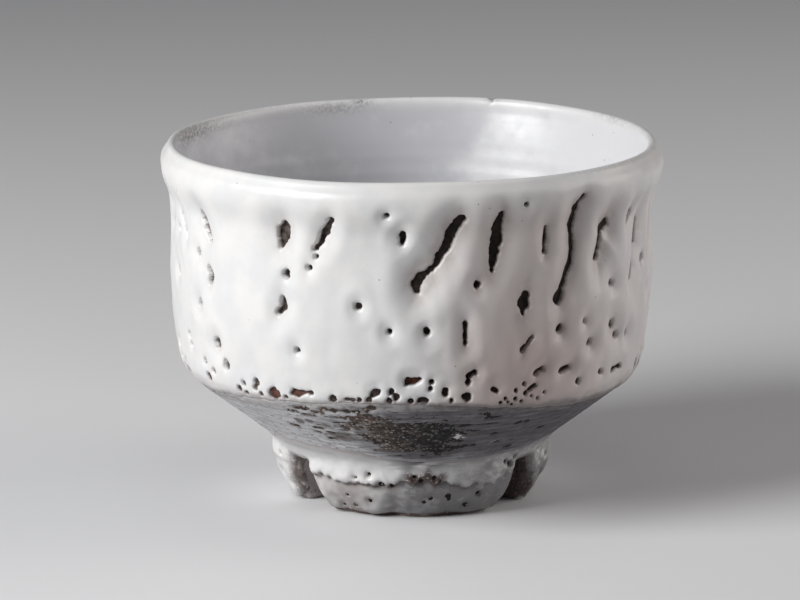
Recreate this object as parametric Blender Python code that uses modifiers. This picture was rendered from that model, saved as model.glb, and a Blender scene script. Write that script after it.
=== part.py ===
"""Tea bowl with a thick crawled glaze and a foot ring that is cut into three lobes.

Units are metres and +Z is up. The origin is the centre of the ring that the bowl stands on.
Azimuth 0 is the front of the bowl, towards -Y, and it grows towards +X.
The bowl is built as it is made: a clay body, a foot ring luted under it, and the coats of glaze on both.
"""

import math

import bmesh
import bpy
from mathutils import Matrix, Vector
from mathutils.geometry import interpolate_bezier

# Driving dimensions of the finished surface, in metres. Radii are set in from the rim, the widest ring.
HEIGHT = 0.0900
RIM_RADIUS = 0.0625
RIM_DROP = 0.0042
CROWN_INSET = 0.0027
MOUTH_INSET = 0.0043
MOUTH_DROP = 0.0040
NECK_INSET = 0.0023
NECK_DROP = 0.0140
WALL_INSET = 0.0025
WALL_HEIGHT = 0.0580
LOW_WALL_INSET = 0.0036
LOW_WALL_HEIGHT = 0.0420
HIP_INSET = 0.0051
HIP_HEIGHT = 0.0342
HIP_ROUND = 0.0038
HIP_ROUND_DROP = 0.0042
WALL_THICKNESS = 0.0065
FLOOR_CLAY = 0.0058
WELL_INSET = 0.0165
WELL_RISE = 0.0095

# Foot ring
FOOT_HEIGHT = 0.0153
FOOT_RADIUS = 0.0348
WAIST_OVERHANG = 0.0004
FOOT_BULGE_DROP = 0.0028
FOOT_BASE_RADIUS = 0.0305
FOOT_WALL = 0.0085
FOOT_BORE_DRAFT = 0.0015
NOTCH_AZIMUTHS = (-55.0, 55.0, 180.0)
NOTCH_WIDTH = 0.0105
NOTCH_TOP_WIDTH = 0.0050
NOTCH_HEIGHT = 0.0120
NOTCH_ROUNDING = 0.0015

# Coats, and the gap that is left between two pieces that touch
GLAZE = 0.0019
LIP_GLAZE = 0.0012
INNER_GLAZE = 0.0008
WASH = 0.0005
FOOT_GLAZE = 0.0012
FOOT_LEDGE_HEIGHT = 0.0092
FOOT_LEDGE_STEP = 0.0005
FOOT_GLAZE_HEM = 0.0011
SEAT = 0.0003

# The bare patch in the wash
PATCH_AZIMUTH = -4.0
PATCH_WIDTH = 0.0380
PATCH_LENGTH = 0.0175

# Fineness of the turned forms, cut forms and curves
TURN_STEPS = 48
MARK_SEGMENTS = 8
MARK_RINGS = 6
TURN_PER_POINT = 15.0

# Crawl marks: azimuth in degrees, share of the way down from rim to glaze edge, length and width in units of
# MARK_SIZE, and lean in degrees. A mark that leans has its upper end towards larger azimuths. The glaze sinks
# to a dent round every mark down to DENT_LOWEST, by a share of its thickness.
MARK_SIZE = 0.0010
DENT_REACH = 2.6
DENT_SHARE = 0.55
DENT_LOWEST = 0.75
MARKS = (
    (-57.0, 0.281, 7.0, 1.3, -36.0),
    (-31.1, 0.254, 6.6, 3.0, 18.0),
    (-30.3, 0.423, 2.6, 1.7, -24.0),
    (-31.8, 0.561, 4.4, 1.8, 17.0),
    (-20.4, 0.231, 9.2, 1.8, 32.0),
    (-2.3, 0.240, 3.0, 1.6, 0.0),
    (8.5, 0.244, 12.0, 2.4, 29.0),
    (3.4, 0.391, 11.0, 2.1, 38.0),
    (0.3, 0.864, 3.6, 1.7, 78.0),
    (12.4, 0.656, 5.8, 1.2, 0.0),
    (20.1, 0.203, 8.0, 2.4, 5.0),
    (19.4, 0.306, 9.5, 2.8, 8.0),
    (27.0, 0.548, 5.4, 3.0, 9.0),
    (27.8, 0.724, 4.6, 1.3, 42.0),
    (32.2, 0.276, 6.4, 1.2, 0.0),
    (40.8, 0.197, 10.0, 1.8, 8.0),
    (40.6, 0.344, 10.0, 1.4, 0.0),
    (38.2, 0.478, 10.4, 1.8, 25.0),
    (50.4, 0.328, 9.4, 1.7, 22.0),
    (67.2, 0.332, 6.6, 1.3, 8.0),
    (78.0, 0.358, 9.0, 1.8, 12.0),
    (88.0, 0.296, 12.0, 2.4, 14.0),
    (97.0, 0.565, 4.0, 2.4, 5.0),
    (108.0, 0.269, 9.5, 2.4, 30.0),
    (116.0, 0.502, 5.0, 1.2, 4.0),
    (124.0, 0.305, 13.0, 1.6, 10.0),
    (133.0, 0.251, 8.0, 2.0, -12.0),
    (141.0, 0.529, 5.0, 1.4, 20.0),
    (152.0, 0.323, 14.0, 2.5, 16.0),
    (163.0, 0.242, 6.0, 1.2, 0.0),
    (167.0, 0.627, 4.0, 1.8, 0.0),
    (173.0, 0.269, 7.5, 1.8, 33.0),
    (187.5, 0.394, 10.0, 2.0, 10.0),
    (197.0, 0.251, 6.0, 3.0, 22.0),
    (203.0, 0.573, 4.5, 1.2, -8.0),
    (211.0, 0.341, 13.0, 2.4, 27.0),
    (221.0, 0.636, 4.0, 1.6, -20.0),
    (232.0, 0.269, 8.5, 1.6, 5.0),
    (240.0, 0.484, 5.0, 1.2, 12.0),
    (247.0, 0.430, 6.5, 1.6, 30.0),
    (258.0, 0.260, 10.0, 2.0, 18.0),
    (270.0, 0.403, 5.5, 1.4, -10.0),
    (280.0, 0.287, 8.0, 1.8, 24.0),
    (291.0, 0.314, 5.0, 1.2, -30.0),
)

# Colours, as seen in daylight
CLAY_COLOUR = (0.075, 0.055, 0.043)
GLAZE_COLOUR = (0.80, 0.78, 0.76)
INNER_GLAZE_COLOUR = (0.74, 0.74, 0.74)
WASH_COLOUR = (0.33, 0.31, 0.30)
FOOT_GLAZE_COLOUR = (0.72, 0.70, 0.68)
CLAY_ROUGHNESS = 0.90
WASH_ROUGHNESS = 0.60
GLAZE_ROUGHNESS = 0.25


def empty_scene():
    for item in list(bpy.data.objects):
        bpy.data.objects.remove(item, do_unlink=True)


def new_collection(name):
    collection = bpy.data.collections.new(name)
    bpy.context.scene.collection.children.link(collection)
    return collection


def new_material(name, colour, roughness):
    material = bpy.data.materials.new(name)
    material.use_nodes = True
    shader = material.node_tree.nodes["Principled BSDF"]
    shader.inputs["Base Color"].default_value = (*colour, 1.0)
    shader.inputs["Roughness"].default_value = roughness
    shader.inputs["Metallic"].default_value = 0.0
    return material


# Outlines. A key point is (radius, height, angle). The angle is the way from the finished surface into the
# clay, in degrees, with 0 away from the axis and 90 up. An outline runs from the middle of the floor inside,
# up to the mouth, over the lip and down the outside.
def floor_height():
    """The finished floor inside: the clay's thickness and its seats and glaze above the foot ring."""
    return FOOT_HEIGHT + SEAT + FLOOR_CLAY + SEAT + INNER_GLAZE


def waist_slope():
    """The fall of the straight waist, in radians."""
    top, foot = waist_ends()
    return math.atan2(top[1] - foot[1], top[0] - foot[0])


def waist_ends():
    hip_radius, hip_height, _ = hip_key()
    top = (hip_radius - HIP_ROUND, hip_height - HIP_ROUND_DROP)
    foot = (FOOT_RADIUS + WAIST_OVERHANG, FOOT_HEIGHT + SEAT)
    return top, foot


def waist_keys():
    """The straight waist, from under the hip to the top of the foot ring."""
    angle = 90.0 + math.degrees(waist_slope())
    return [(*end, angle) for end in waist_ends()]


def inside_keys():
    floor = floor_height()
    well = RIM_RADIUS - WELL_INSET
    wall = RIM_RADIUS - WALL_INSET - WALL_THICKNESS
    return [
        (0.0, floor, -90.0),
        (0.6 * well, floor + 0.12 * WELL_RISE, -84.0),
        (well, floor + WELL_RISE, -40.0),
        (wall, WALL_HEIGHT, -5.0),
        mouth_key(),
    ]


def mouth_key():
    return (RIM_RADIUS - MOUTH_INSET, HEIGHT - MOUTH_DROP, -16.0)


def lip_and_wall_keys():
    return [
        mouth_key(),
        (RIM_RADIUS - CROWN_INSET, HEIGHT, -90.0),
        (RIM_RADIUS, HEIGHT - RIM_DROP, -180.0),
        (RIM_RADIUS - NECK_INSET, HEIGHT - NECK_DROP, -184.0),
        (RIM_RADIUS - WALL_INSET, WALL_HEIGHT, -181.0),
        (RIM_RADIUS - LOW_WALL_INSET, LOW_WALL_HEIGHT, -187.0),
    ]


def coated_keys():
    """Key points of the lip and wall, each with the outer glaze's thickness there."""
    depths = [LIP_GLAZE] * 3 + [GLAZE] * 3
    return list(zip(lip_and_wall_keys(), depths))


def hip_key():
    return (RIM_RADIUS - HIP_INSET, HIP_HEIGHT, 153.0)


def foot_keys():
    """The finished outside of the foot ring, from its top down to the hem of its glaze."""
    return [
        (FOOT_RADIUS - 0.5 * FOOT_GLAZE, FOOT_HEIGHT, -150.0),
        (FOOT_RADIUS, FOOT_HEIGHT - FOOT_BULGE_DROP, 180.0),
        (FOOT_RADIUS - 0.1 * FOOT_GLAZE, FOOT_LEDGE_HEIGHT, 174.0),
        (FOOT_BASE_RADIUS, FOOT_GLAZE_HEM, 142.0),
    ]


def direction(angle):
    return Vector((math.cos(math.radians(angle)), math.sin(math.radians(angle))))


def travel(key):
    """The way along the outline at a key point."""
    return direction(key[2] + 90.0)


def sunk(key, depth):
    """A key point moved below the finished surface."""
    point = Vector(key[:2]) + depth * direction(key[2])
    return (max(point.x, 0.0), point.y, key[2])


def slid(key, distance):
    """A key point moved along the outline."""
    point = Vector(key[:2]) + distance * travel(key)
    return (point.x, point.y, key[2])


def smooth(keys):
    """Points of a smooth curve through the key points, closer together where it turns more."""
    points = [Vector(keys[0][:2])]
    for first, second in zip(keys, keys[1:]):
        start = Vector(first[:2])
        end = Vector(second[:2])
        chord = end - start
        turn = travel(first).angle(chord) + travel(second).angle(chord)
        pieces = max(1, math.ceil(math.degrees(turn) / TURN_PER_POINT))
        reach = 0.36 * chord.length
        handle_out = start + reach * travel(first)
        handle_in = end - reach * travel(second)
        curve = interpolate_bezier(start, handle_out, handle_in, end, pieces + 1)
        points.extend(curve[1:])
    return [(max(point.x, 0.0), point.y) for point in points]


def sheet(outer_keys, inner_keys):
    """The closed outline of a coat between two runs of key points."""
    return smooth(outer_keys) + smooth(inner_keys)[::-1]


def turned(name, outline, closed, collection, material):
    """Turn an outline of (radius, height) about the upright axis."""
    count = len(outline)
    vertices = [(radius, 0.0, height) for radius, height in outline]
    edges = [(index, index + 1) for index in range(count - 1)]
    if closed:
        edges.append((count - 1, 0))
    mesh = bpy.data.meshes.new(name)
    mesh.from_pydata(vertices, edges, [])
    item = bpy.data.objects.new(name, mesh)
    collection.objects.link(item)
    screw = item.modifiers.new("turn", "SCREW")
    screw.axis = "Z"
    screw.angle = math.tau
    screw.steps = TURN_STEPS
    screw.render_steps = TURN_STEPS
    screw.use_merge_vertices = True
    screw.merge_threshold = 0.00005
    screw.use_smooth_shade = True
    mesh.materials.append(material)
    return item


def as_cutter(item, collection):
    collection.objects.link(item)
    item.hide_render = True
    item.display_type = "WIRE"
    return item


def extruded(name, corners, depth):
    """A flat outline of (x, y) corners made solid, half of the depth to each side."""
    curve = bpy.data.curves.new(name + "_outline", "CURVE")
    curve.dimensions = "2D"
    curve.fill_mode = "BOTH"
    curve.extrude = 0.5 * depth
    spline = curve.splines.new("POLY")
    spline.points.add(len(corners) - 1)
    for point, (x, y) in zip(spline.points, corners):
        point.co = (x, y, 0.0, 1.0)
    spline.use_cyclic_u = True
    source = bpy.data.objects.new(name + "_outline", curve)
    mesh = bpy.data.meshes.new_from_object(source)
    bpy.data.objects.remove(source)
    bpy.data.curves.remove(curve)
    solid = bmesh.new()
    solid.from_mesh(mesh)
    bmesh.ops.remove_doubles(solid, verts=solid.verts, dist=0.000001)
    bmesh.ops.recalc_face_normals(solid, faces=solid.faces)
    solid.to_mesh(mesh)
    solid.free()
    return bpy.data.objects.new(name, mesh)


def axes_at(azimuth):
    """Unit vectors round the bowl and away from its axis at an azimuth in degrees."""
    angle = math.radians(azimuth)
    outward = Vector((math.sin(angle), -math.cos(angle), 0.0))
    around = Vector((math.cos(angle), math.sin(angle), 0.0))
    return around, outward


def placed(centre, x_axis, y_axis, z_axis):
    matrix = Matrix((x_axis, y_axis, z_axis)).transposed().to_4x4()
    matrix.translation = centre
    return matrix


def notch_cutter(azimuth, collection):
    """A notch through the foot ring: narrow and rounded at the top, wide at the floor."""
    flare = 0.5 * (NOTCH_WIDTH - NOTCH_TOP_WIDTH) / NOTCH_HEIGHT
    below = -0.2 * NOTCH_HEIGHT
    side_height = NOTCH_HEIGHT - NOTCH_ROUNDING
    half_below = 0.5 * NOTCH_WIDTH - flare * below
    half_side = 0.5 * NOTCH_WIDTH - flare * side_height
    half_top = half_side - NOTCH_ROUNDING
    corners = [
        (-half_below, below),
        (half_below, below),
        (half_side, side_height),
        (half_side - 0.3 * NOTCH_ROUNDING, side_height + 0.7 * NOTCH_ROUNDING),
        (half_top, NOTCH_HEIGHT),
        (-half_top, NOTCH_HEIGHT),
        (-half_side + 0.3 * NOTCH_ROUNDING, side_height + 0.7 * NOTCH_ROUNDING),
        (-half_side, side_height),
    ]
    item = as_cutter(extruded("notch", corners, FOOT_RADIUS), collection)
    around, outward = axes_at(azimuth)
    item.matrix_world = placed(0.8 * FOOT_RADIUS * outward, around, Vector((0.0, 0.0, 1.0)), -outward)
    return item


def wedge_cutter(name, first, last, collection):
    """A slice of space between two azimuths, as high as the foot ring and more."""
    corners = [(0.0, 0.0)]
    steps = 5
    for index in range(steps + 1):
        outward = axes_at(first + (last - first) * index / steps)[1]
        corners.append((2.0 * FOOT_RADIUS * outward.x, 2.0 * FOOT_RADIUS * outward.y))
    return as_cutter(extruded(name, corners, 4.0 * FOOT_HEIGHT), collection)


def ellipsoid_cutter(name, centre, x_axis, y_axis, z_axis, sizes, collection):
    ball = bmesh.new()
    bmesh.ops.create_uvsphere(ball, u_segments=MARK_SEGMENTS, v_segments=MARK_RINGS, radius=0.5)
    bmesh.ops.scale(ball, vec=sizes, verts=ball.verts)
    mesh = bpy.data.meshes.new(name)
    ball.to_mesh(mesh)
    ball.free()
    item = as_cutter(bpy.data.objects.new(name, mesh), collection)
    item.matrix_world = placed(centre, x_axis, y_axis, z_axis)
    return item


def skin_at(outline, height):
    """Radius of the outside of the wall at a height, and how far it leans out there, in radians."""
    for (r_top, z_top), (r_low, z_low) in zip(outline, outline[1:]):
        if z_top >= height >= z_low and z_top > z_low:
            radius = r_low + (r_top - r_low) * (height - z_low) / (z_top - z_low)
            return radius, math.atan2(r_top - r_low, z_top - z_low)
    return RIM_RADIUS - WALL_INSET, 0.0


def mark_cutter(name, mark, outline, reach, depth, lift, collection):
    """An ellipsoid at a crawl mark, wider than the mark by reach on each side and lifted off the skin."""
    azimuth, share, length, width, lean = mark
    height = HEIGHT - share * (HEIGHT - HIP_HEIGHT)
    radius, slope = skin_at(outline, height)
    around, outward = axes_at(azimuth)
    upright = Vector((0.0, 0.0, 1.0))
    up_skin = math.cos(slope) * upright + math.sin(slope) * outward
    away = math.cos(slope) * outward - math.sin(slope) * upright
    tilt = Matrix.Rotation(math.radians(lean), 3, -away)
    centre = radius * outward + height * upright + lift * away
    swell = 1.0 / math.sqrt(1.0 - (lift / depth) ** 2)
    wide = swell * (width + 2.0 * reach) * MARK_SIZE
    long = swell * (length + reach) * MARK_SIZE
    sizes = (wide, 2.0 * depth, long)
    return ellipsoid_cutter(name, centre, tilt @ around, -away, tilt @ up_skin, sizes, collection)


def crawl_cutter(mark, outline, collection):
    """A hole where the glaze drew back from the clay: long, narrow and leaning on the wall."""
    return mark_cutter("crawl", mark, outline, 0.0, 2.0 * GLAZE, 0.0, collection)


def dent_cutter(mark, outline, collection):
    """The wide dent round a hole, where the glaze thins towards it."""
    deep = DENT_SHARE * GLAZE
    return mark_cutter("dent", mark, outline, DENT_REACH, 2.0 * deep, deep, collection)


def patch_cutter(collection):
    """The bare patch on the waist."""
    top, foot = waist_ends()
    radius = 0.5 * (top[0] + foot[0])
    height = 0.5 * (top[1] + foot[1])
    around, outward = axes_at(PATCH_AZIMUTH)
    lean = waist_slope()
    up_slope = math.cos(lean) * outward + Vector((0.0, 0.0, math.sin(lean)))
    inward = around.cross(up_slope)
    centre = radius * outward + Vector((0.0, 0.0, height))
    sizes = (PATCH_WIDTH, 0.4 * PATCH_WIDTH, PATCH_LENGTH)
    return ellipsoid_cutter("bare_patch", centre, around, -inward, up_slope, sizes, collection)


def cut_by(item, collection):
    cut = item.modifiers.new("cut", "BOOLEAN")
    cut.operation = "DIFFERENCE"
    cut.solver = "EXACT"
    cut.operand_type = "COLLECTION"
    cut.collection = collection


def keep_within(item, other):
    keep = item.modifiers.new("keep", "BOOLEAN")
    keep.operation = "INTERSECT"
    keep.solver = "EXACT"
    keep.object = other


def build_clay_body(parts, material):
    inside = [sunk(key, INNER_GLAZE + SEAT) for key in inside_keys()[:-1]]
    lip = [sunk(key, depth + SEAT) for key, depth in coated_keys()]
    waist = [sunk(key, WASH + SEAT) for key in [hip_key()] + waist_keys()]
    base = FOOT_HEIGHT + SEAT
    last = waist[-1]
    waist[-1] = slid(last, (last[1] - base) / math.sin(waist_slope()))
    outline = smooth(inside + lip + waist) + [(0.0, base)]
    return turned("clay_body", outline, False, parts, material)


def build_inner_glaze(parts, material):
    keys = inside_keys()
    keys[-1] = slid(keys[-1], -SEAT)
    under = [sunk(key, INNER_GLAZE) for key in keys]
    outline = smooth(under) + smooth(keys)[::-1]
    return turned("inner_glaze", outline[::-1], False, parts, material)


def build_outer_glaze(parts, cutters, material):
    keys = lip_and_wall_keys() + [hip_key()]
    under = [sunk(key, depth) for key, depth in coated_keys()] + [sunk(hip_key(), WASH)]
    item = turned("outer_glaze", sheet(keys, under), True, parts, material)
    outline = smooth(lip_and_wall_keys()[2:] + [hip_key()])
    for mark in MARKS:
        crawl_cutter(mark, outline, cutters)
        if mark[1] < DENT_LOWEST:
            dent_cutter(mark, outline, cutters)
    cut_by(item, cutters)
    return item


def build_waist_wash(parts, cutters, material):
    keys = [slid(hip_key(), SEAT)] + waist_keys()
    under = [sunk(key, WASH) for key in keys]
    item = turned("waist_wash", sheet(keys, under), True, parts, material)
    patch_cutter(cutters)
    cut_by(item, cutters)
    return item


def build_foot_ring(parts, cutters, material):
    outer = smooth([sunk(key, FOOT_GLAZE + SEAT) for key in foot_keys()])
    top_radius = outer[0][0]
    outer[0] = (top_radius, FOOT_HEIGHT)
    base_radius = outer[-1][0] - 0.6 * FOOT_GLAZE_HEM
    bore = base_radius - FOOT_WALL
    outline = outer + [
        (base_radius, 0.0),
        (bore + 0.5 * FOOT_GLAZE_HEM, 0.0),
        (bore, 0.5 * FOOT_GLAZE_HEM),
        (bore - FOOT_BORE_DRAFT, FOOT_HEIGHT),
    ]
    item = turned("foot_ring", outline, True, parts, material)
    cut_by(item, cutters)
    return item


def build_foot_glaze(name, first, last, parts, notches, wedges, material):
    upper = foot_keys()[:3]
    lower = [sunk(key, FOOT_LEDGE_STEP) for key in foot_keys()[2:]]
    lower[0] = slid(lower[0], 1.5 * FOOT_LEDGE_STEP)
    under = [sunk(key, FOOT_GLAZE) for key in foot_keys()]
    outline = smooth(upper) + smooth(lower) + smooth(under)[::-1]
    item = turned(name, outline, True, parts, material)
    cut_by(item, notches)
    keep_within(item, wedge_cutter(name + "_wedge", first, last, wedges))
    return item


def build():
    empty_scene()
    parts = new_collection("tea_bowl")
    crawls = new_collection("crawl_cutters")
    patches = new_collection("patch_cutters")
    notches = new_collection("notch_cutters")
    wedges = new_collection("wedge_cutters")
    clay = new_material("dark_clay", CLAY_COLOUR, CLAY_ROUGHNESS)
    ring_clay = new_material("foot_clay", CLAY_COLOUR, CLAY_ROUGHNESS)
    white = new_material("white_glaze", GLAZE_COLOUR, GLAZE_ROUGHNESS)
    inner_white = new_material("inner_white_glaze", INNER_GLAZE_COLOUR, GLAZE_ROUGHNESS)
    grey = new_material("grey_wash", WASH_COLOUR, WASH_ROUGHNESS)
    build_clay_body(parts, clay)
    build_inner_glaze(parts, inner_white)
    build_outer_glaze(parts, crawls, white)
    build_waist_wash(parts, patches, grey)
    for azimuth in NOTCH_AZIMUTHS:
        notch_cutter(azimuth, notches)
    build_foot_ring(parts, notches, ring_clay)
    left, right, back = NOTCH_AZIMUTHS
    sectors = (("front", left, right), ("right", right, back), ("left", back, left + 360.0))
    for side, first, last in sectors:
        name = "foot_glaze_" + side
        coat = new_material(name + "_white", FOOT_GLAZE_COLOUR, GLAZE_ROUGHNESS)
        build_foot_glaze(name, first, last, parts, notches, wedges, coat)


build()
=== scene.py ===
"""Looks of a tea bowl: thick white glaze that crawled back from dark clay, a thin wash and a cut foot.

Lengths are millimetres until a mesh is made. Azimuth 0 is the front, towards -Y, and it grows towards +X.
Each coat is drawn on a skin, the bowl's or the foot's: u runs round it and v runs along its outline.
The bowl's outline starts in the middle of the floor inside, goes over the lip and ends down the outside.
"""

from math import cos, pi, radians, sin, tan, tau

import bmesh
import bpy
import numpy as np
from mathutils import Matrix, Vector
from mathutils.geometry import delaunay_2d_cdt


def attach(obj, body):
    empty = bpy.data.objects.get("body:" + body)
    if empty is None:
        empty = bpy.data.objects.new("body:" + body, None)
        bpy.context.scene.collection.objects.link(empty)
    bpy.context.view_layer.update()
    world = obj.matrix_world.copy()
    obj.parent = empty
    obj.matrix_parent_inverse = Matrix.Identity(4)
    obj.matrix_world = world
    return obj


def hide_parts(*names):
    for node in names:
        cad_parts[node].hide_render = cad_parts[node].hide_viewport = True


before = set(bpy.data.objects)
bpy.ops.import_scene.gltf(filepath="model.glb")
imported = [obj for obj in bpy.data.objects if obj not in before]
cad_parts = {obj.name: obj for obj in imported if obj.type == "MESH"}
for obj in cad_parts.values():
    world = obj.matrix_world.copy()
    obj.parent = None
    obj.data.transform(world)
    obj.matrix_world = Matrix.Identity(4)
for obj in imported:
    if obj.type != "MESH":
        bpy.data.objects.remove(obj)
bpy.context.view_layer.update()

MM = 0.001
FAR = 1e9
TINY = 1e-9

# Outline of the finished skin: radius, height, and the way into the clay in degrees (0 outwards, 90 up)
FLOOR = (0, 22.5, -90)
INSIDE = ((27.6, 23.64, -84), (46, 32, -40), (53.5, 58, -5))
MOUTH = (58.2, 86, -16)
CROWN = (59.8, 90, -90)
LIP = (61.55, 88, -137)
RIM = (62.5, 85.4, 180)
WALL = ((60.2, 76, 176), (60, 58, 179), (58.9, 42, 173))
HIP = (57.4, 34.2, 153)
WAIST = ((53.6, 30, 128), (35.2, 15.6, 128))
FOOT_SKIN = (
    (42.6, 21.4, 128), (37.2, 17.17, 128), (34.85, 13.4, 180),
    (34.5, 9.2, 172), (31.2, 1.6, 152), (29.8, 0.15, 120),
)

# Length of the handles that bend the outline, as a share of the way from one point to the next
HANDLE = 0.36

# The foot's clay and its notches, which are cut by blocks that reach from far out to near the axis
FOOT_TOP = 15.3
BORE_RADIUS = 19.6
NOTCHES = (-55, 55, 180)
NOTCH_TOP = 12
NOTCH_TOP_WIDTH = 5
NOTCH_WIDTH = 10.5
NOTCH_ROUND = 3
NOTCH_REACH = (45, 10)

# Lobes of the foot: name, the notches on both sides, strength of the ledge, and reach of the wear at a notch
LOBES = (
    ("front", NOTCHES[0], NOTCHES[1], 1, 1.3),
    ("right", NOTCHES[1], NOTCHES[2], 0.5, 1.6),
    ("left", -NOTCHES[2], NOTCHES[0], 0.35, 2.6),
)

# Depth of the clay under the skin, and the radius at which u is measured, for wall, waist, inside and foot
WALL_DEPTH = 2.2
WAIST_DEPTH = 0.5
INSIDE_DEPTH = 0.9
FOOT_DEPTH = 1.3
WALL_U = 60
WAIST_U = 46
FOOT_U = 33

# Fineness: cells of the coats' fields, points along their seams, flat width of the walls at their edges, how
# near to an edge inner points come as a share of their spacing, points in the shortest edge, foot voxels, and
# points round what is turned
FINE_CELL = 0.16
WASH_CELL = 0.18
SEAM_PITCH = 0.8
WALL_FLAT = 0.1
KEEP_OFF = 0.42
SHORTEST_LINE = 8
FOOT_VOXEL = 0.42
INSIDE_ROUND = 240
CLAY_ROUND = 690
FOOT_ROUND = 160

# Spacing of a coat's points: on its upper sheet by distance from the edge, along the edge, on its under sheet
OUTER_SPACING = (((0, 0.8, 0.33), (0.8, 2.2, 0.6), (2.2, FAR, 0.9)), 0.3, 2.5)
WASH_SPACING = (((0, 0.6, 0.4), (0.6, FAR, 0.62)), 0.34, 2.4)
FOOT_SPACING = (((0, 0.8, 0.32), (0.8, FAR, 0.5)), 0.3, 1.6)

# What the hand left: waves of the lip (depth, count round, phase), a nick in it, a thumb mark on the foot,
# and a calm side of the wall, where the dents are shallower
LIP_WAVES = ((0.35, 1, 0), (0.22, 2, 1.9), (0.16, 3, 0.4), (0.1, 7, 1))
NICK_AZIMUTH = 159
NICK_DEPTH = 0.45
NICK_REACH = 0.013
THUMB_AZIMUTH = -9
THUMB_REACH = 3
THUMB_DEPTH = 1.5
CALM = 0.55
CALM_MIDDLE = radians(-48)

# Unevenness, as layers of noise: depth, size (one or by axis), seed, octaves
FOOT_SHIFT = ((0.45, (10, 10, 7), 101, 1), (0.28, 4.2, 102, 1))
WAIST_SHIFT = ((0.25, 12, 103, 1),)
LOW_EDGE_WAVES = ((0.35, 14, 5, 3), (0.25, 2.5, 6, 3))
HOLE_EDGE = ((1, 1.15, 21, 3),)
SWELL = ((0.3, (8, 8, 24), 31, 1), (0.14, (4, 4, 7), 32, 1))
INSIDE_WAVES = ((0.16, 14, 41, 1), (0.06, 5, 42, 1))
CLAY_GRIT = ((0.13, 1, 51, 3), (0.12, (6, 6, 1.4), 52, 3))
WASH_STREAKS = ((1.1, (16, 16, 0.9), 61, 3), (0.55, (5, 5, 0.5), 64, 2))
PATCH_SPECKS = ((1, 1.3, 62, 2),)
DASH_EDGE = ((0.3, (2, 2, 0.8), 63, 2),)
WASH_SCORES = ((0.05, (20, 20, 0.7), 66, 2), (0.03, 2, 68, 2))
PALE_CLOUDS = ((0.16, (12, 12, 3), 70, 2),)
FOOT_RAGGED = ((1, 3, 81, 3),)
FOOT_EDGE_WAVES = ((0.8, 7, 82, 3),)
FOOT_STREAKS = ((0.5, (5, 5, 0.7), 83, 2),)
PINHOLE_EDGE = ((0.16, 0.8, 84, 2),)
LEDGE_WAVES = ((0.5, 6, 86, 2), (0.75, 1.9, 87, 3))
FOOT_LUMPS = ((0.25, 5, 88, 1), (0.2, 2.2, 89, 1), (0.08, 1.1, 92, 1))
LOW_LUMPS = ((0.34, (4.2, 4.2, 9), 94, 1),)
DRIPS = ((0.3, (1.8, 1.8, 7), 90, 1),)
FOOT_PATCHES = ((0.5, (7, 7, 3), 91, 2),)
FOOT_CLAY_LUMPS = ((0.18, 2.2, 95, 3), (0.15, 6, 98, 2))

# Height of the outer glaze's lower edge, of the foot glaze's upper edge and of its ledge, by azimuth
LOW_EDGE = (
    (-180, 32.4), (-120, 31.4), (-62, 31.6), (-44, 33.2), (-15, 35.5), (5, 35.6), (16, 34.8), (35, 32.5),
    (54, 30.8), (90, 31), (140, 31.8), (180, 32.4),
)
FOOT_EDGE = (
    (-180, 17.5), (-130, 18.5), (-90, 18), (-60, 19.5), (-38, 20.2), (-20, 18.6), (0, 16.4), (25, 15.6),
    (45, 16.6), (60, 19.2), (100, 18), (140, 18.4), (180, 17.5),
)
LEDGE = (
    (-180, 9.2), (-55, 10.4), (-45, 9.8), (-28, 9.3), (-13, 9), (-7, 9.6), (-3, 10.5), (5, 10.7),
    (12, 10), (17, 9.4), (25, 8.8), (35, 9.3), (41, 10.6), (55, 11.4), (75, 9.2), (180, 9.2),
)

# Above this height the holes lie in wide dents
HIGH_UP = 45

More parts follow.
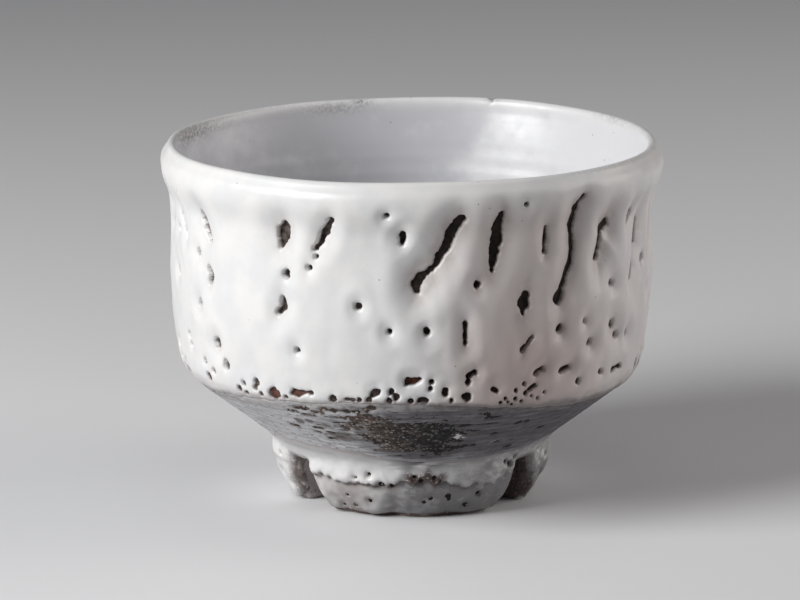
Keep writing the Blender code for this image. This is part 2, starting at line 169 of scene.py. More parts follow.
# Crawl gashes: a run of (azimuth, height, half width) along each
GASHES = (
    ((-58.9, 77, 0.6), (-57, 74.4, 0.95), (-55.1, 71.6, 0.6)),
    ((-56.1, 64.2, 0.5), (-55.2, 62.6, 0.9), (-55.7, 60.8, 0.5)),
    ((-30.2, 78.2, 0.95), (-31, 76.6, 1.75), (-31.7, 73, 0.45)),
    ((-18.4, 80.6, 0.5), (-20.2, 77.4, 0.74), (-22.6, 73.5, 0.45)),
    ((10.9, 80.6, 0.99), (8.9, 77.5, 1.09), (7.8, 74.5, 1.09), (6.4, 72.2, 0.81), (5.1, 69.9, 0.44),
     (4, 68.6, 0.64), (2.1, 67.2, 0.99), (0.8, 65.6, 1.04), (1, 64, 0.59)),
    ((20.5, 81.7, 0.38), (20, 79.3, 1.1), (19.8, 76.4, 1.4), (19.5, 73.8, 1.27), (19.1, 71.1, 0.9),
     (18.8, 68.4, 0.54)),
    ((32.3, 77.3, 0.42), (32.3, 74.7, 0.52), (32.2, 71.8, 0.36)),
    ((41.9, 84, 0.4), (40.3, 81, 0.75), (40.1, 77.1, 0.92), (40.6, 73.7, 0.6), (40.7, 70.9, 0.44),
     (40.1, 67.7, 0.52), (38.7, 65.1, 0.58), (37.4, 62.2, 0.66), (36.3, 59.6, 1.25)),
    ((52.4, 75.4, 1.05), (50.5, 74.4, 0.76), (50.1, 72.5, 0.4), (49.9, 70, 0.84), (48.7, 68.1, 0.7)),
    ((62.6, 76.8, 0.5), (60.8, 74.4, 0.5)),
    ((67.5, 74.1, 0.6), (66.8, 68.8, 0.75)),
    ((64.6, 63, 0.48), (63.8, 60.4, 0.48)),
    ((-31.4, 60.7, 0.4), (-31.1, 58.7, 0.8), (-32.5, 56.9, 0.5)),
    ((12.3, 55.8, 0.34), (12.4, 50.9, 0.44)),
    ((27.3, 61.1, 1.1), (26.8, 59.5, 1.55), (26.7, 57.1, 0.5)),
    ((29, 51.1, 0.34), (27.9, 49.5, 0.26), (26.5, 48.2, 0.46)),
    ((32.3, 42.9, 0.42), (30.3, 42.1, 0.52)),
    ((40.5, 42.1, 0.46), (37.8, 41.5, 0.56)),
    ((61.5, 38.4, 0.5), (57.1, 38.2, 0.5)),
    ((-29, 37.3, 0.89), (-28, 37.1, 0.79), (-26.7, 37.5, 0.4), (-24.5, 37.7, 0.37)),
    ((-34.6, 37.7, 0.42), (-34.9, 37, 0.74), (-35.6, 36, 0.79)),
    ((-34.9, 36.8, 0.6), (-34, 36.3, 0.79)),
    ((-15.7, 36.7, 0.36), (-13.9, 36.7, 0.36)),
    ((-1.3, 41.7, 0.74), (-0.3, 41.8, 0.84), (1.5, 42.2, 0.49)),
    ((13.2, 42.8, 0.6), (14.6, 43.5, 0.64)),
    ((1.7, 36.9, 0.66), (3, 36.9, 0.66)),
    ((30.4, 38.9, 0.46), (28.9, 38.2, 0.4)),
    ((19.4, 39.1, 0.47), (20.4, 38.5, 0.42)),
    ((-9.7, 38.3, 0.62), (-8.2, 39.1, 0.68)),
)

# Pinholes: azimuth, height, half width, half height
PINHOLES = (
    (-60.7, 67.2, 0.75, 0.8), (-60.6, 54.6, 0.95, 1), (-22.5, 71.6, 0.38, 0.49), (-24.2, 68.7, 0.5, 0.48),
    (-5.7, 82.2, 0.46, 0.51), (-2.3, 76.6, 0.8, 1.42), (-30.3, 66.5, 0.78, 0.97), (-12.4, 60, 0.68, 0.7),
    (-5.2, 54.2, 0.56, 0.6), (-27.6, 48.1, 0.5, 0.5), (-53.8, 45.6, 1.2, 1.1), (-50.3, 41, 1.15, 1.1),
    (-58.7, 36.2, 0.95, 0.85), (-40.1, 38.5, 0.75, 0.65), (-44.4, 37.4, 0.49, 0.4),
    (-46, 35.6, 0.66, 0.8), (-40.7, 36.8, 0.6, 0.53), (-34.7, 34.9, 0.49, 0.45), (-19, 36.7, 0.72, 0.88),
    (-12.6, 36.8, 0.46, 0.62), (-10.2, 37, 0.58, 0.75), (-5.1, 39.2, 0.58, 0.63),
    (-5.5, 36.9, 0.52, 0.58), (-3.8, 37.9, 0.68, 0.75), (-0.3, 36.8, 0.56, 0.5), (15.2, 65.1, 0.82, 0.84),
    (3.2, 54.2, 0.68, 0.95), (36.7, 52.3, 0.95, 0.95), (54.1, 60.8, 0.58, 0.62), (55.5, 50.1, 0.92, 1),
    (57.9, 46.9, 0.75, 0.53), (63.3, 46.4, 0.65, 0.45), (46.8, 47.2, 0.65, 0.52),
    (51.7, 38.9, 0.65, 0.56), (43.4, 38.2, 0.62, 0.52), (13.2, 41.2, 0.58, 0.63), (4.4, 41.7, 0.46, 0.51),
    (4.3, 40, 0.46, 0.51), (7.8, 39.1, 0.75, 0.86), (12.9, 37.6, 1.02, 1.08), (27.9, 37.1, 0.48, 0.58),
    (25.2, 38.2, 0.33, 0.33), (27.3, 39.7, 0.33, 0.36), (-59.8, 39.8, 0.75, 0.6),
    (-55.8, 38.3, 0.65, 0.56), (-67.9, 44.9, 0.5, 0.56), (-67.1, 42.5, 0.5, 0.57),
    (-43.8, 35, 0.45, 0.42), (-38.9, 35.6, 0.45, 0.41), (-31.6, 35.8, 0.41, 0.4), (9.3, 36.8, 0.42, 0.45),
    (22.7, 36.5, 0.34, 0.36), (25.3, 36.1, 0.4, 0.36), (23.4, 35.4, 0.31, 0.31), (27, 35.3, 0.31, 0.31),
    (21.4, 35.5, 0.31, 0.31), (29.6, 36.4, 0.33, 0.33), (31.4, 35.6, 0.31, 0.31), (24.4, 34.7, 0.3, 0.3),
    (33, 36.9, 0.32, 0.32), (44.3, 53.1, 0.4, 0.36), (25.9, 84, 0.36, 0.36),
)

# Gashes at the back, which the photograph doesn't show: azimuth, height, length, half width, lean in degrees
BACK_GASHES = (
    (78, 70, 9, 0.9, 12), (88, 73.5, 12, 1.2, 14), (97, 58.5, 4, 1.2, 5), (108, 75, 9.5, 1.2, 30),
    (116, 62, 5, 0.6, 4), (124, 73, 13, 0.8, 10), (133, 76, 8, 1, -12), (141, 60.5, 5, 0.7, 20),
    (152, 72, 14, 1.25, 16), (163, 76.5, 6, 0.6, 0), (167, 55, 4, 0.9, 0), (173, 75, 7.5, 0.9, 33),
    (-172.5, 68, 10, 1, 10), (-163, 76, 6, 1.5, 22), (-157, 58, 4.5, 0.6, -8), (-149, 71, 13, 1.2, 27),
    (-139, 54.5, 4, 0.8, -20), (-128, 75, 8.5, 0.8, 5), (-120, 63, 5, 0.6, 12), (-113, 66, 6.5, 0.8, 30),
    (-102, 75.5, 10, 1, 18), (-90, 67.5, 5.5, 0.7, -10), (-80, 74, 8, 0.9, 24), (-69, 72.5, 5, 0.6, -30),
)

# Pinholes round the back: how many, the share near the hip, the azimuths between which they lie, and how far
# they keep off the seam
BACK_PINHOLES = 150
BACK_NEAR_HIP = 0.62
BACK_FROM = 70
BACK_TO = 290
BACK_SEAM = 2.5

# Pinholes of the foot: azimuth, height, half width
FOOT_PINHOLES = (
    (-18.8, 4.2, 0.5), (8.4, 5.2, 0.5), (15.8, 6, 0.45), (29.6, 6, 0.5), (5.5, 4.1, 0.4),
    (-18.1, 12, 0.4), (-12.9, 9.6, 0.5), (44.6, 12.7, 0.6), (-33.5, 1.9, 0.35), (-27.3, 2.2, 0.35),
    (-29.4, 5.1, 0.35), (25.1, 2.7, 0.4), (74, 12.2, 0.5), (79, 10.5, 0.4), (-72, 11.6, 0.4),
    (-75, 6.5, 0.45), (-68, 4, 0.4), (108, 5, 0.5), (127, 11, 0.45), (150, 4.5, 0.5), (-101, 9.5, 0.5),
    (-123, 4.2, 0.45), (-148, 11.8, 0.5), (-160, 5.5, 0.4), (95, 3, 0.35), (-88, 3.2, 0.35),
    (-23.8, 11, 0.24), (-8.5, 9.4, 0.4), (1, 12, 0.26), (3.6, 10.9, 0.45), (9.2, 11.5, 0.34),
    (11.8, 10.4, 0.24), (42.2, 13.6, 0.3), (47.4, 14.2, 0.4), (66.6, 13.8, 0.3), (70.5, 10.2, 0.65),
    (68, 7, 0.45), (76, 6.4, 0.3),
)

# The bare patch of the waist, as a run of (azimuth, height, half width), and dashes scored through the wash,
# each as azimuth, height, half length and half width
BARE_PATCH = (
    (-12.5, 31.6, 1.8), (-9, 26.8, 5.6), (-3, 25.2, 7.4), (3.5, 25.6, 7.8), (7.5, 23, 5.6),
)
DASHES = (
    (21.1, 30.9, 1, 0.36), (31.7, 27.9, 1.2, 0.34), (19.5, 21, 1.1, 0.34), (36.5, 18.5, 1, 0.3),
    (26, 24.6, 0.6, 0.28), (17.8, 32.4, 0.8, 0.28), (43, 24, 0.8, 0.28), (29, 21.2, 0.5, 0.26),
    (-36, 26, 0.7, 0.3), (-28.5, 33, 1.2, 0.2), (-24, 32.2, 0.9, 0.26), (-21, 33.3, 1.2, 0.2),
    (-27, 30.8, 0.8, 0.3), (-31, 31.6, 0.5, 0.26), (-19, 31, 1, 0.3), (-27.5, 26.4, 0.7, 0.3),
    (-24.5, 25, 0.5, 0.3), (-29.5, 24.6, 0.6, 0.28), (-22, 23.8, 0.6, 0.3), (-25.5, 22.8, 0.8, 0.28),
    (110, 27, 1.2, 0.3), (150, 22.5, 0.9, 0.3), (-110, 25, 1.1, 0.3), (-150, 29, 1.3, 0.3),
    (85, 23, 0.9, 0.3), (172, 30, 1, 0.28),
)

# Soft marks: azimuth, height, reach round, reach up, and how strong. They are brown stains in the wash, white
# flecks on it, raised and painted white as highlights, rust in the holes, and worn places of the lip, whose
# height is counted down from the crown
STAINS = (
    (-32, 28.6, 1.5, 1, 1), (-28.6, 28.9, 1.4, 0.8, 0.9), (-31.4, 32.2, 1.6, 0.8, 0.6),
    (-24, 28, 5.5, 1.6, 0.6), (-21, 24.4, 4.5, 2.2, 0.9), (-27, 24.6, 2.6, 1.3, 0.5), (26, 29, 5, 2, 0.4),
    (38, 24, 6, 2.4, 0.4),
)
FLECKS = (
    (-29.4, 27.3, 1.3, 0.5, 1), (-29.5, 21.8, 3, 1, 1), (-25.6, 20.6, 3, 0.8, 0.9),
    (-33, 30.6, 3, 0.6, 0.7), (-23, 31.6, 3, 0.7, 0.6), (-20, 21, 4, 0.8, 0.8), (14, 24.8, 2.6, 1.6, 0.7),
    (26, 21.8, 5, 1.2, 0.5), (-52, 26, 7, 3, 0.5),
)
CLAY_RUST = ((0.3, 41.8, 2.2, 2.2, 1), (-28, 37.3, 3.2, 3.2, 1), (-34.8, 36.4, 2, 2, 1))
WORN_LIP = (
    (-106, -2.6, 17, 2.1, 1), (-167, -1.2, 2.6, 1.2, 0.9), (-160, -2.4, 9, 1.8, 0.5),
    (58, 0.4, 26, 1.5, 0.2), (159, 0, 2.2, 1.4, 0.9), (118, -1, 9, 1.2, 0.4), (-140, 0.4, 12, 1.2, 0.35),
)

# By azimuth: painted shade inside, greyer at the back; painted warm shade and reflection on the outer glaze,
# strongest on the right; and how pale the wash is, partly its own tone and partly painted light and shade
# Painted shade: the inside glaze is pushed greyer towards the back, where the inner wall lies in shade
CLOUDED = (
    (-180, 1), (-150, 1), (-115, 0.55), (-90, 0.5), (90, 0), (135, 0), (155, 0.35), (180, 1),
)
# Painted shade and warm reflection: how far the outer glaze turns a darker tan, mostly on its right side
WARMTH = (
    (-180, 0.2), (-100, 0), (-6, 0), (5, 0.15), (11, 0.55), (18, 0.85), (30, 1), (42, 0.75), (52, 0.5),
    (62, 0.35), (75, 0.25), (120, 0.3), (180, 0.2),
)
# Partly the wash's own tone, partly painted light on the lit left and painted shade on the right
PALE_WASH = (
    (-180, 0.55), (-120, 0.7), (-80, 1), (-48, 1.06), (-34, 1), (-18, 0.76), (-6, 0.38), (6, 0.2),
    (20, 0.16), (40, 0.12), (60, 0.2), (90, 0.5), (130, 0.4), (180, 0.55),
)


# Numbers
def ease(value, low, high):
    """A smooth step from 0 at low to 1 at high."""
    share = np.clip((value - low) / (high - low), 0, 1)
    return share * share * (3 - 2 * share)


def bell(value, reach=1):
    """1 at 0, falling away on both sides."""
    return np.exp(-((value / reach) ** 2))


def wrapped(angle):
    """The same angle, within half a turn of 0."""
    return (angle + pi) % tau - pi


def stacked(*columns):
    """Columns side by side, as the last axis of one array."""
    return np.stack(np.broadcast_arrays(*columns), axis=-1)


def around(radius, azimuth, height):
    return stacked(radius * np.sin(azimuth), -radius * np.cos(azimuth), height)


def azimuth_of(points):
    return np.arctan2(points[..., 0], -points[..., 1])


def by_azimuth(table, azimuth):
    """A table of (degrees, value) read at some azimuths."""
    return np.interp(np.degrees(azimuth), *np.array(table).T)


def lengths_along(line):
    """The distance along a line to each of its points."""
    return np.concatenate([[0], np.cumsum(np.linalg.norm(np.diff(line, axis=0), axis=1))])


def lattice(x, y, z, seed):
    """A fixed number from 0 to 1 for each point of a lattice."""
    mixed = (x * 374761393 + y * 668265263 + z * 2147483647 + seed * 362437) & 0xFFFFFFFF
    mixed = ((mixed ^ (mixed >> 13)) * 1274126177) & 0xFFFFFFFF
    return ((mixed ^ (mixed >> 16)) & 0xFFFF) / 65535


def noise(points, size, seed):
    """Smooth noise from -1 to 1 with bumps of about this size, which may differ by axis."""
    place = points / size
    low = np.floor(place).astype(np.int64)
    share = ease(place - low, 0, 1)
    total = np.zeros(points.shape[:-1])
    for corner in range(8):
        step = np.array([corner & 1, corner >> 1 & 1, corner >> 2 & 1])
        weight = np.prod(np.where(step, share, 1 - share), axis=-1)
        total += weight * lattice(*np.moveaxis(low + step, -1, 0), seed)
    return 2 * total - 1


def layered(points, layers):
    """The sum of layers of noise, each with finer and weaker noise on it, an octave at a time."""
    total = np.zeros(points.shape[:-1])
    for depth, size, seed, octaves in layers:
        for octave in range(octaves):
            total += depth * 0.5**octave * noise(points, np.asarray(size) * 0.5**octave, seed + octave)
    return total


def spread(marks, azimuth, height, radius):
    """How strong some soft marks are at places round the bowl."""
    total = np.zeros(len(azimuth))
    for at, middle, reach_round, reach_up, strength in marks:
        turn = wrapped(azimuth - radians(at))
        gap = np.hypot(turn * radius / reach_round, (height - middle) / reach_up)
        total = np.maximum(total, strength * bell(gap))
    return total


def run_distance(chain, u, v, pull=1):
    """Distance to a run of round spots joined up. pull below 1 makes distances along v count less."""
    nearest = np.full(u.shape, FAR)
    for (u0, v0, r0), (u1, v1, r1) in zip(chain, chain[1:]):
        du = u1 - u0
        dv = (v1 - v0) * pull
        share = np.clip(((u - u0) * du + (v - v0) * pull * dv) / max(du * du + dv * dv, TINY), 0, 1)
        gap = np.hypot(u - u0 - share * du, (v - v0) * pull - share * dv)
        nearest = np.minimum(nearest, gap - (r0 + share * (r1 - r0)))
    return nearest


# Shapes
def unit(angle):
    return np.array([cos(radians(angle)), sin(radians(angle))])


class Skin:
    """A smooth outline through key points, turned round the axis. Its outside starts at one of the keys."""

    def __init__(self, keys, outside=0):
        runs = [np.array([keys[0][:2]])]
        ends = [0]
        for first, second in zip(keys, keys[1:]):
            start, end = np.array([first[:2], second[:2]])
            chord = np.linalg.norm(end - start)
            handle_out = start + HANDLE * chord * unit(first[2] + 90)
            handle_in = end - HANDLE * chord * unit(second[2] + 90)
            t = np.linspace(0, 1, 12 + int(8 * chord))[1:, None]
            near = (1 - t) ** 3 * start + 3 * t * (1 - t) ** 2 * handle_out
            far = 3 * t * t * (1 - t) * handle_in + t**3 * end
            runs.append(near + far)
            ends.append(ends[-1] + len(t))
        line = np.concatenate(runs)
        self.along = lengths_along(line)
        self.keys = self.along[ends].tolist()
        self.outside = slice(ends[outside], None)
        self.radius, self.height = line.T
        travel = np.gradient(line, self.along, axis=0)
        travel /= np.linalg.norm(travel, axis=1)[:, None]
        self.out_radius = -travel[:, 1]
        self.out_height = travel[:, 0]

    def outline(self, v):
        """Points of the outline, as radius and height, and the way out of the clay there."""
        columns = (self.radius, self.height, self.out_radius, self.out_height)
        both = stacked(*(np.interp(v, self.along, column) for column in columns))
        return both[..., :2], both[..., 2:]

    def points(self, azimuth, v, lift=0):
        """Points above the skin by lift."""
        line, outward = self.outline(v)
        line = line + np.asarray(lift)[..., None] * outward
        return around(line[..., 0], azimuth, line[..., 1])

    def outside_at(self, height):
        """v on the outside at a height."""
        return np.interp(-np.asarray(height), -self.height[self.outside], self.along[self.outside])

    def place(self, azimuth, height, radius):
        """u and v of a place on the outside."""
        return radians(azimuth) * radius, float(self.outside_at(height))


def by_hand(points):
    """The unevenness of a bowl that was shaped by hand, the same for every piece."""
    x, y, z = points.T
    azimuth = azimuth_of(points)
    high = np.clip(z / CROWN[1], 0, 1.1)
    grow = 1 + high**2 * (0.003 * np.sin(2 * azimuth) + 0.0018 * np.cos(3 * azimuth - 0.5))
    wave = sum(depth * np.sin(count * azimuth + phase) for depth, count, phase in LIP_WAVES)
    nick = NICK_DEPTH * bell(wrapped(azimuth - radians(NICK_AZIMUTH)), NICK_REACH) * ease(z, 87, 90)
    radius = np.maximum(np.hypot(x, y), 1e-6)
    shift = ease(16.5 - z, 0, 4) * ease(radius, 23, 28.5) * layered(points, FOOT_SHIFT)
    shift += ease(z, 15, 19) * ease(40 - z, 0, 6) * ease(radius, 30, 36) * layered(points, WAIST_SHIFT)
    thumb = THUMB_DEPTH * bell((azimuth - radians(THUMB_AZIMUTH)) * FOOT_U, THUMB_REACH)
    shift -= thumb * ease(7.5 - z, 0, 5) * ease(radius, 24, 29)
    grow += shift / radius
    return stacked(x * grow, y * grow, z + high**4 * wave - nick)


def add_object(name, data):
    item = bpy.data.objects.new(name, data)
    bpy.context.scene.collection.objects.link(item)
    return item


def add_piece(name, shape, material, node, slot_name, **attributes):
    """Make a mesh piece that stands for a node of the part. shape is its points, its faces, and u, v and the
    sheet of the faces' corners. Under sheets, with 1, have their own strip of the flat map."""
    points, faces, flats = shape
    mesh = bpy.data.meshes.new(name)
    mesh.from_pydata((by_hand(points) * MM).tolist(), [], faces.tolist())
    mesh.polygons.foreach_set("use_smooth", np.ones(len(mesh.polygons), bool))
    for key, values in attributes.items():
        layer = mesh.attributes.new(key, "FLOAT", "POINT")
        layer.data.foreach_set("value", np.asarray(values, np.float32))
    place = flats[..., :2]
    low = place.min(axis=(0, 1))
    place = (place - low) / (place.max(axis=(0, 1)) - low)
    place[..., 1] = np.where(flats[..., 2] > 0.5, 0.88 + 0.11 * place[..., 1], 0.01 + 0.85 * place[..., 1])
    layer = mesh.uv_layers.new(name="OFBake")
    layer.data.foreach_set("uv", place.reshape(-1).astype(np.float32))
    mesh.materials.append(material)
    item = add_object(name, mesh)
    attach(item, "root")
    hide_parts(node)


def only_used(points, faces):
    """Points without those that no face uses, the faces renumbered, and the numbers of the points kept."""
    used, inverse = np.unique(faces, return_inverse=True)
    return points[used], inverse.reshape(-1, 3), used


def turned(line, outward, count, lift):
    """Turn an outline that starts and ends on the axis. lift(points, row) moves points along its normal."""
    rows = len(line)
    azimuth = np.linspace(-pi, pi, count, endpoint=False)
    points = around(line[:, :1], azimuth, line[:, 1:])
    normal = around(outward[:, :1], azimuth, outward[:, 1:])
    points += lift(points, np.arange(rows)[:, None] + np.zeros(count, int))[..., None] * normal
    points[[0, -1]] = points[[0, -1]].mean(axis=1, keepdims=True)
    index = np.arange(rows * count).reshape(rows, count)
    index[[0, -1]] = index[[0, -1], :1]

    def triangles(grid):
        """Two triangles in each cell, apart from those that shrink to nothing on the axis."""
        cells = np.stack([grid[:-1, :-1], grid[1:, :-1], grid[1:, 1:], grid[:-1, 1:]], axis=2)
        both = np.concatenate([cells[:-1, :, [0, 1, 2]], cells[1:, :, [0, 2, 3]]])
        return both.reshape(-1, *both.shape[2:])

    flats = triangles(stacked(np.arange(count + 1.0), lengths_along(line)[:, None]))
    faces = triangles(np.concatenate([index, index[:, :1]], axis=1))
    points, faces, _ = only_used(points.reshape(-1, 3), faces)
    return points, faces, np.dstack([flats, np.zeros(faces.shape)])


# Coats: a sheet of glaze or wash that covers the skin where its field is above 0
CELL_LINES = {
    1: ((3, 0),), 2: ((0, 1),), 3: ((3, 1),), 4: ((1, 2),), 5: ((3, 2), (0, 1)), 6: ((0, 2),), 7: ((3, 2),),
    8: ((2, 3),), 9: ((0, 2),), 10: ((0, 3), (1, 2)), 11: ((1, 2),), 12: ((1, 3),), 13: ((0, 1),),
    14: ((0, 3),),
}


def contours(field, u, v):
    """The lines where a field on a grid is 0, each as points and whether it is closed."""
    inside = (field > 0).astype(np.int8)
    code = inside[:-1, :-1] + 2 * inside[1:, :-1] + 4 * inside[1:, 1:] + 8 * inside[:-1, 1:]
    links = {}
    for i, j in np.argwhere((code > 0) & (code < 15)).tolist():
        sides = ((i, j, 0), (i + 1, j, 1), (i, j + 1, 0), (i, j, 1))
        for first, second in CELL_LINES[int(code[i, j])]:
            links.setdefault(sides[first], []).append(sides[second])
            links.setdefault(sides[second], []).append(sides[first])

    def spot(side):
        i, j, upright = side
        k, m = (i, j + 1) if upright else (i + 1, j)
        share = field[i, j] / (field[i, j] - field[k, m])
        return u[i] + share * (u[k] - u[i]), v[j] + share * (v[m] - v[j])

    lines = []
    seen = set()
    ends = [side for side, near in links.items() if len(near) == 1]
    for start in ends + list(links):
        run = []
        ahead = [] if start in seen else [start]
        while ahead:
            run.append(ahead[0])
            seen.add(ahead[0])
            ahead = [side for side in links[run[-1]] if side not in seen]
        if len(run) >= SHORTEST_LINE:
            lines.append((np.array([spot(side) for side in run]), len(links[start]) == 2))
    return lines


def resampled(line, closed, pitch):
    """Even points along a line. A closed line doesn't repeat its first point."""
    if closed:
        line = np.concatenate([line, line[:1]])
    along = lengths_along(line)
    at = np.linspace(0, along[-1], max(9, int(round(along[-1] / pitch))) + 1)[: -1 if closed else None]
    return stacked(*(np.interp(at, along, column) for column in line.T))


def sampled(grid, u, v, at_u, at_v):
    """A grid read between its points."""
    i = np.clip((at_u - u[0]) / (u[1] - u[0]), 0, len(u) - 1.001)
    j = np.clip((at_v - v[0]) / (v[1] - v[0]), 0, len(v) - 1.001)
    i0 = i.astype(int)
    j0 = j.astype(int)
    across = i - i0
    low, high = (grid[i0, k] * (1 - across) + grid[i0 + 1, k] * across for k in (j0, j0 + 1))
    return low * (1 - (j - j0)) + high * (j - j0)


def honeycomb(u, v, pitch):
    """Points over a rectangle, with every other row moved by half a pitch."""
    rows = []
    for index, row in enumerate(np.arange(v[0], v[-1], pitch * 0.866)):
        rows.append(stacked(np.arange(u[0] + index % 2 * 0.5 * pitch, u[-1], pitch), row))
    return np.concatenate(rows)


def all_round(radius, cell):
    """Even places right round a skin."""
    return np.linspace(-pi * radius, pi * radius, 1 + int(tau * radius / cell))


def rolled(full, share, sink):
    """A thickness that rolls down at a coat's edge, where share is 0, to a little below the clay."""
    roll = np.sqrt(1 - (1 - np.clip(share, 0, 1)) ** 2)
    return full * roll - sink * (1 - roll)


class Coat:
    """A coat on a skin: a fine upper sheet and a coarse under sheet, with a low wall along the coat's edges.
    levels gives the spacing of the upper sheet's points by distance from the edge: from, to, spacing."""

    def __init__(self, skin, radius, field, u, v, levels, edge_pitch, under_pitch, wraps=True):
        self.skin = skin
        self.radius = radius
        self.field = field
        self.u = u
        self.v = v
        self.wraps = wraps
        self.edges = []
        self.tips = []
        runs = []
        start = 0
        for line, closed in contours(field, u, v):
            run = resampled(line, closed, edge_pitch)
            if not closed and run[0, 0] > run[-1, 0]:
                run = run[::-1]
            last = start + len(run) - 1
            self.edges += [(k, k + 1) for k in range(start, last)]
            if closed:
                self.edges.append((last, start))
            else:
                run[[0, -1], 0] = u[[0, -1]]
                self.tips.append((run[0, 1], start, last))
            runs.append(run)
            start = last + 1
        self.rim = np.concatenate(runs)
        self.tips.sort()
        self.same = {right: left for _, left, right in self.tips}
        self.sheets = self.sheet(levels), self.sheet(((0, FAR, under_pitch),))

    def cover_at(self, flat):
        return sampled(self.field, self.u, self.v, *flat.T)

    def sheet(self, levels):
        """Triangulate the covered part: flat points, triangles, and each point's number in the rim or -1."""
        points = [self.rim]
        edges = list(self.edges)
        count = len(self.rim)
        if self.wraps:
            (top, *top_ends), (low, *low_ends) = self.tips
            pitch = min(SEAM_PITCH, max(level[2] for level in levels))
            seam = np.linspace(top, low, 2 + int((low - top) / pitch))[1:-1]
            for side, first, last in zip(self.u[[0, -1]], top_ends, low_ends):
                points.append(stacked(side, seam))
                run = [first, *range(count, count + len(seam)), last]
                edges += zip(run, run[1:])
                count += len(seam)
        for nearest, farthest, pitch in levels:
            comb = honeycomb(self.u, self.v, pitch)
            cover = self.cover_at(comb)
            keep = (cover >= max(nearest, KEEP_OFF * pitch)) & (cover < farthest)
            if self.wraps:
                keep &= (comb[:, 0] > self.u[0] + 0.5 * pitch) & (comb[:, 0] < self.u[-1] - 0.5 * pitch)
            points.append(comb[keep])
        inside_with_holes = 2
        points = [Vector(point) for point in np.concatenate(points)]
        result = delaunay_2d_cdt(points, edges, [], inside_with_holes, 1e-6)
        on_rim = [[-1, *(k for k in sources if k < len(self.rim))][-1] for sources in result[3]]
        return np.array([point[:] for point in result[0]]), np.array(result[2]), np.array(on_rim)

    def mesh(self, thickness, depth, sink):
        """The coat's shape, and u, v and the distance from the edge at each of its points.
        thickness(u, v, distance) is counted from the clay, which lies at depth(u, v) under the skin."""

        def upper(u, v, cover):
            return self.skin.points(u / self.radius, v, thickness(u, v, cover) - depth(u, v))

        def under(u, v):
            return self.skin.points(u / self.radius, v, -depth(u, v) - sink)

        ring = len(self.rim)
        points = [upper(*self.rim.T, np.zeros(ring)), under(*self.rim.T)]
        covers = [np.zeros(2 * ring)]
        faces = []
        flats = []
        count = 2 * ring
        for lower, (flat, triangles, on_rim) in enumerate(self.sheets):
            index = np.array([lower * ring + self.same.get(k, k) for k in on_rim.tolist()])
            free = np.flatnonzero(on_rim < 0)
            if self.wraps:
                left, right = (free[np.abs(flat[free, 0] - side) < 1e-4] for side in self.u[[0, -1]])
                free = np.setdiff1d(free, right)
            index[free] = count + np.arange(len(free))
            if self.wraps:
                index[right[np.argsort(flat[right, 1])]] = index[left[np.argsort(flat[left, 1])]]
            cover = self.cover_at(flat[free])
            place = flat[free].T
            points.append(under(*place) if lower else upper(*place, np.maximum(cover, 0)))
            covers.append(cover)
            count += len(free)
            turn = triangles if lower else triangles[:, ::-1]
            faces.append(index[turn])
            flats.append(np.dstack([flat[turn], np.full(turn.shape, lower)]))
        sides = faces[0][:, [0, 1, 1, 2, 2, 0]].reshape(-1, 2)
        first, second = sides[~np.isin(sides @ [count, 1], sides @ [1, count])].T
        faces += [stacked(second, first, first + ring), stacked(second, first + ring, second + ring)]
        width = self.u[-1] - self.u[0]
        along = self.rim[second] - self.rim[first]
        along[:, 0] -= width * np.round(along[:, 0] / width)
        there = self.rim[second]
        here = there - along
        away = WALL_FLAT * along[:, ::-1] * [-1, 1] / np.maximum(np.linalg.norm(along, axis=1), TINY)[:, None]
        for corners in ((there, here, here + away), (there, here + away, there + away)):
            flats.append(np.dstack([np.stack(corners, axis=1), np.zeros((len(first), 3))]))
        points, faces, used = only_used(np.concatenate(points), np.concatenate(faces))
        flats = np.concatenate(flats)
        place = np.zeros((len(points), 2))
        place[faces] = flats[..., :2]
        return (points, faces, flats), *place.T, np.concatenate(covers)[used]


# The bowl's skin and the places of its key points along it
bowl = Skin((FLOOR, *INSIDE, MOUTH, CROWN, LIP, RIM, *WALL, HIP, *WAIST), 7)
AT_MOUTH, AT_CROWN = bowl.keys[4:6]
AT_RIM = bowl.keys[7]
AT_HIP = bowl.keys[11]
AT_FOOT = bowl.keys[13]


def clay_depth(u, v):
    """Depth of the clay under the bowl's skin. It is the same all round, at any u."""
    places = (0, AT_MOUTH - 4, AT_MOUTH, AT_HIP - 9, AT_HIP - 1, AT_FOOT)
    return np.interp(v, places, np.repeat((INSIDE_DEPTH, WALL_DEPTH, WAIST_DEPTH), 2))


def low_edge(azimuth):
    """v where the outer glaze ends."""
    ragged = layered(around(WALL_U, azimuth, 0), LOW_EDGE_WAVES)
    return bowl.outside_at(by_azimuth(LOW_EDGE, azimuth) + ragged)


def from_light(azimuth):
    """Painted shade: how far round the bowl the colours have gone from their lit copies to their shaded
    copies.
    """
    return ease(np.sin(azimuth), -0.55, 0.3)


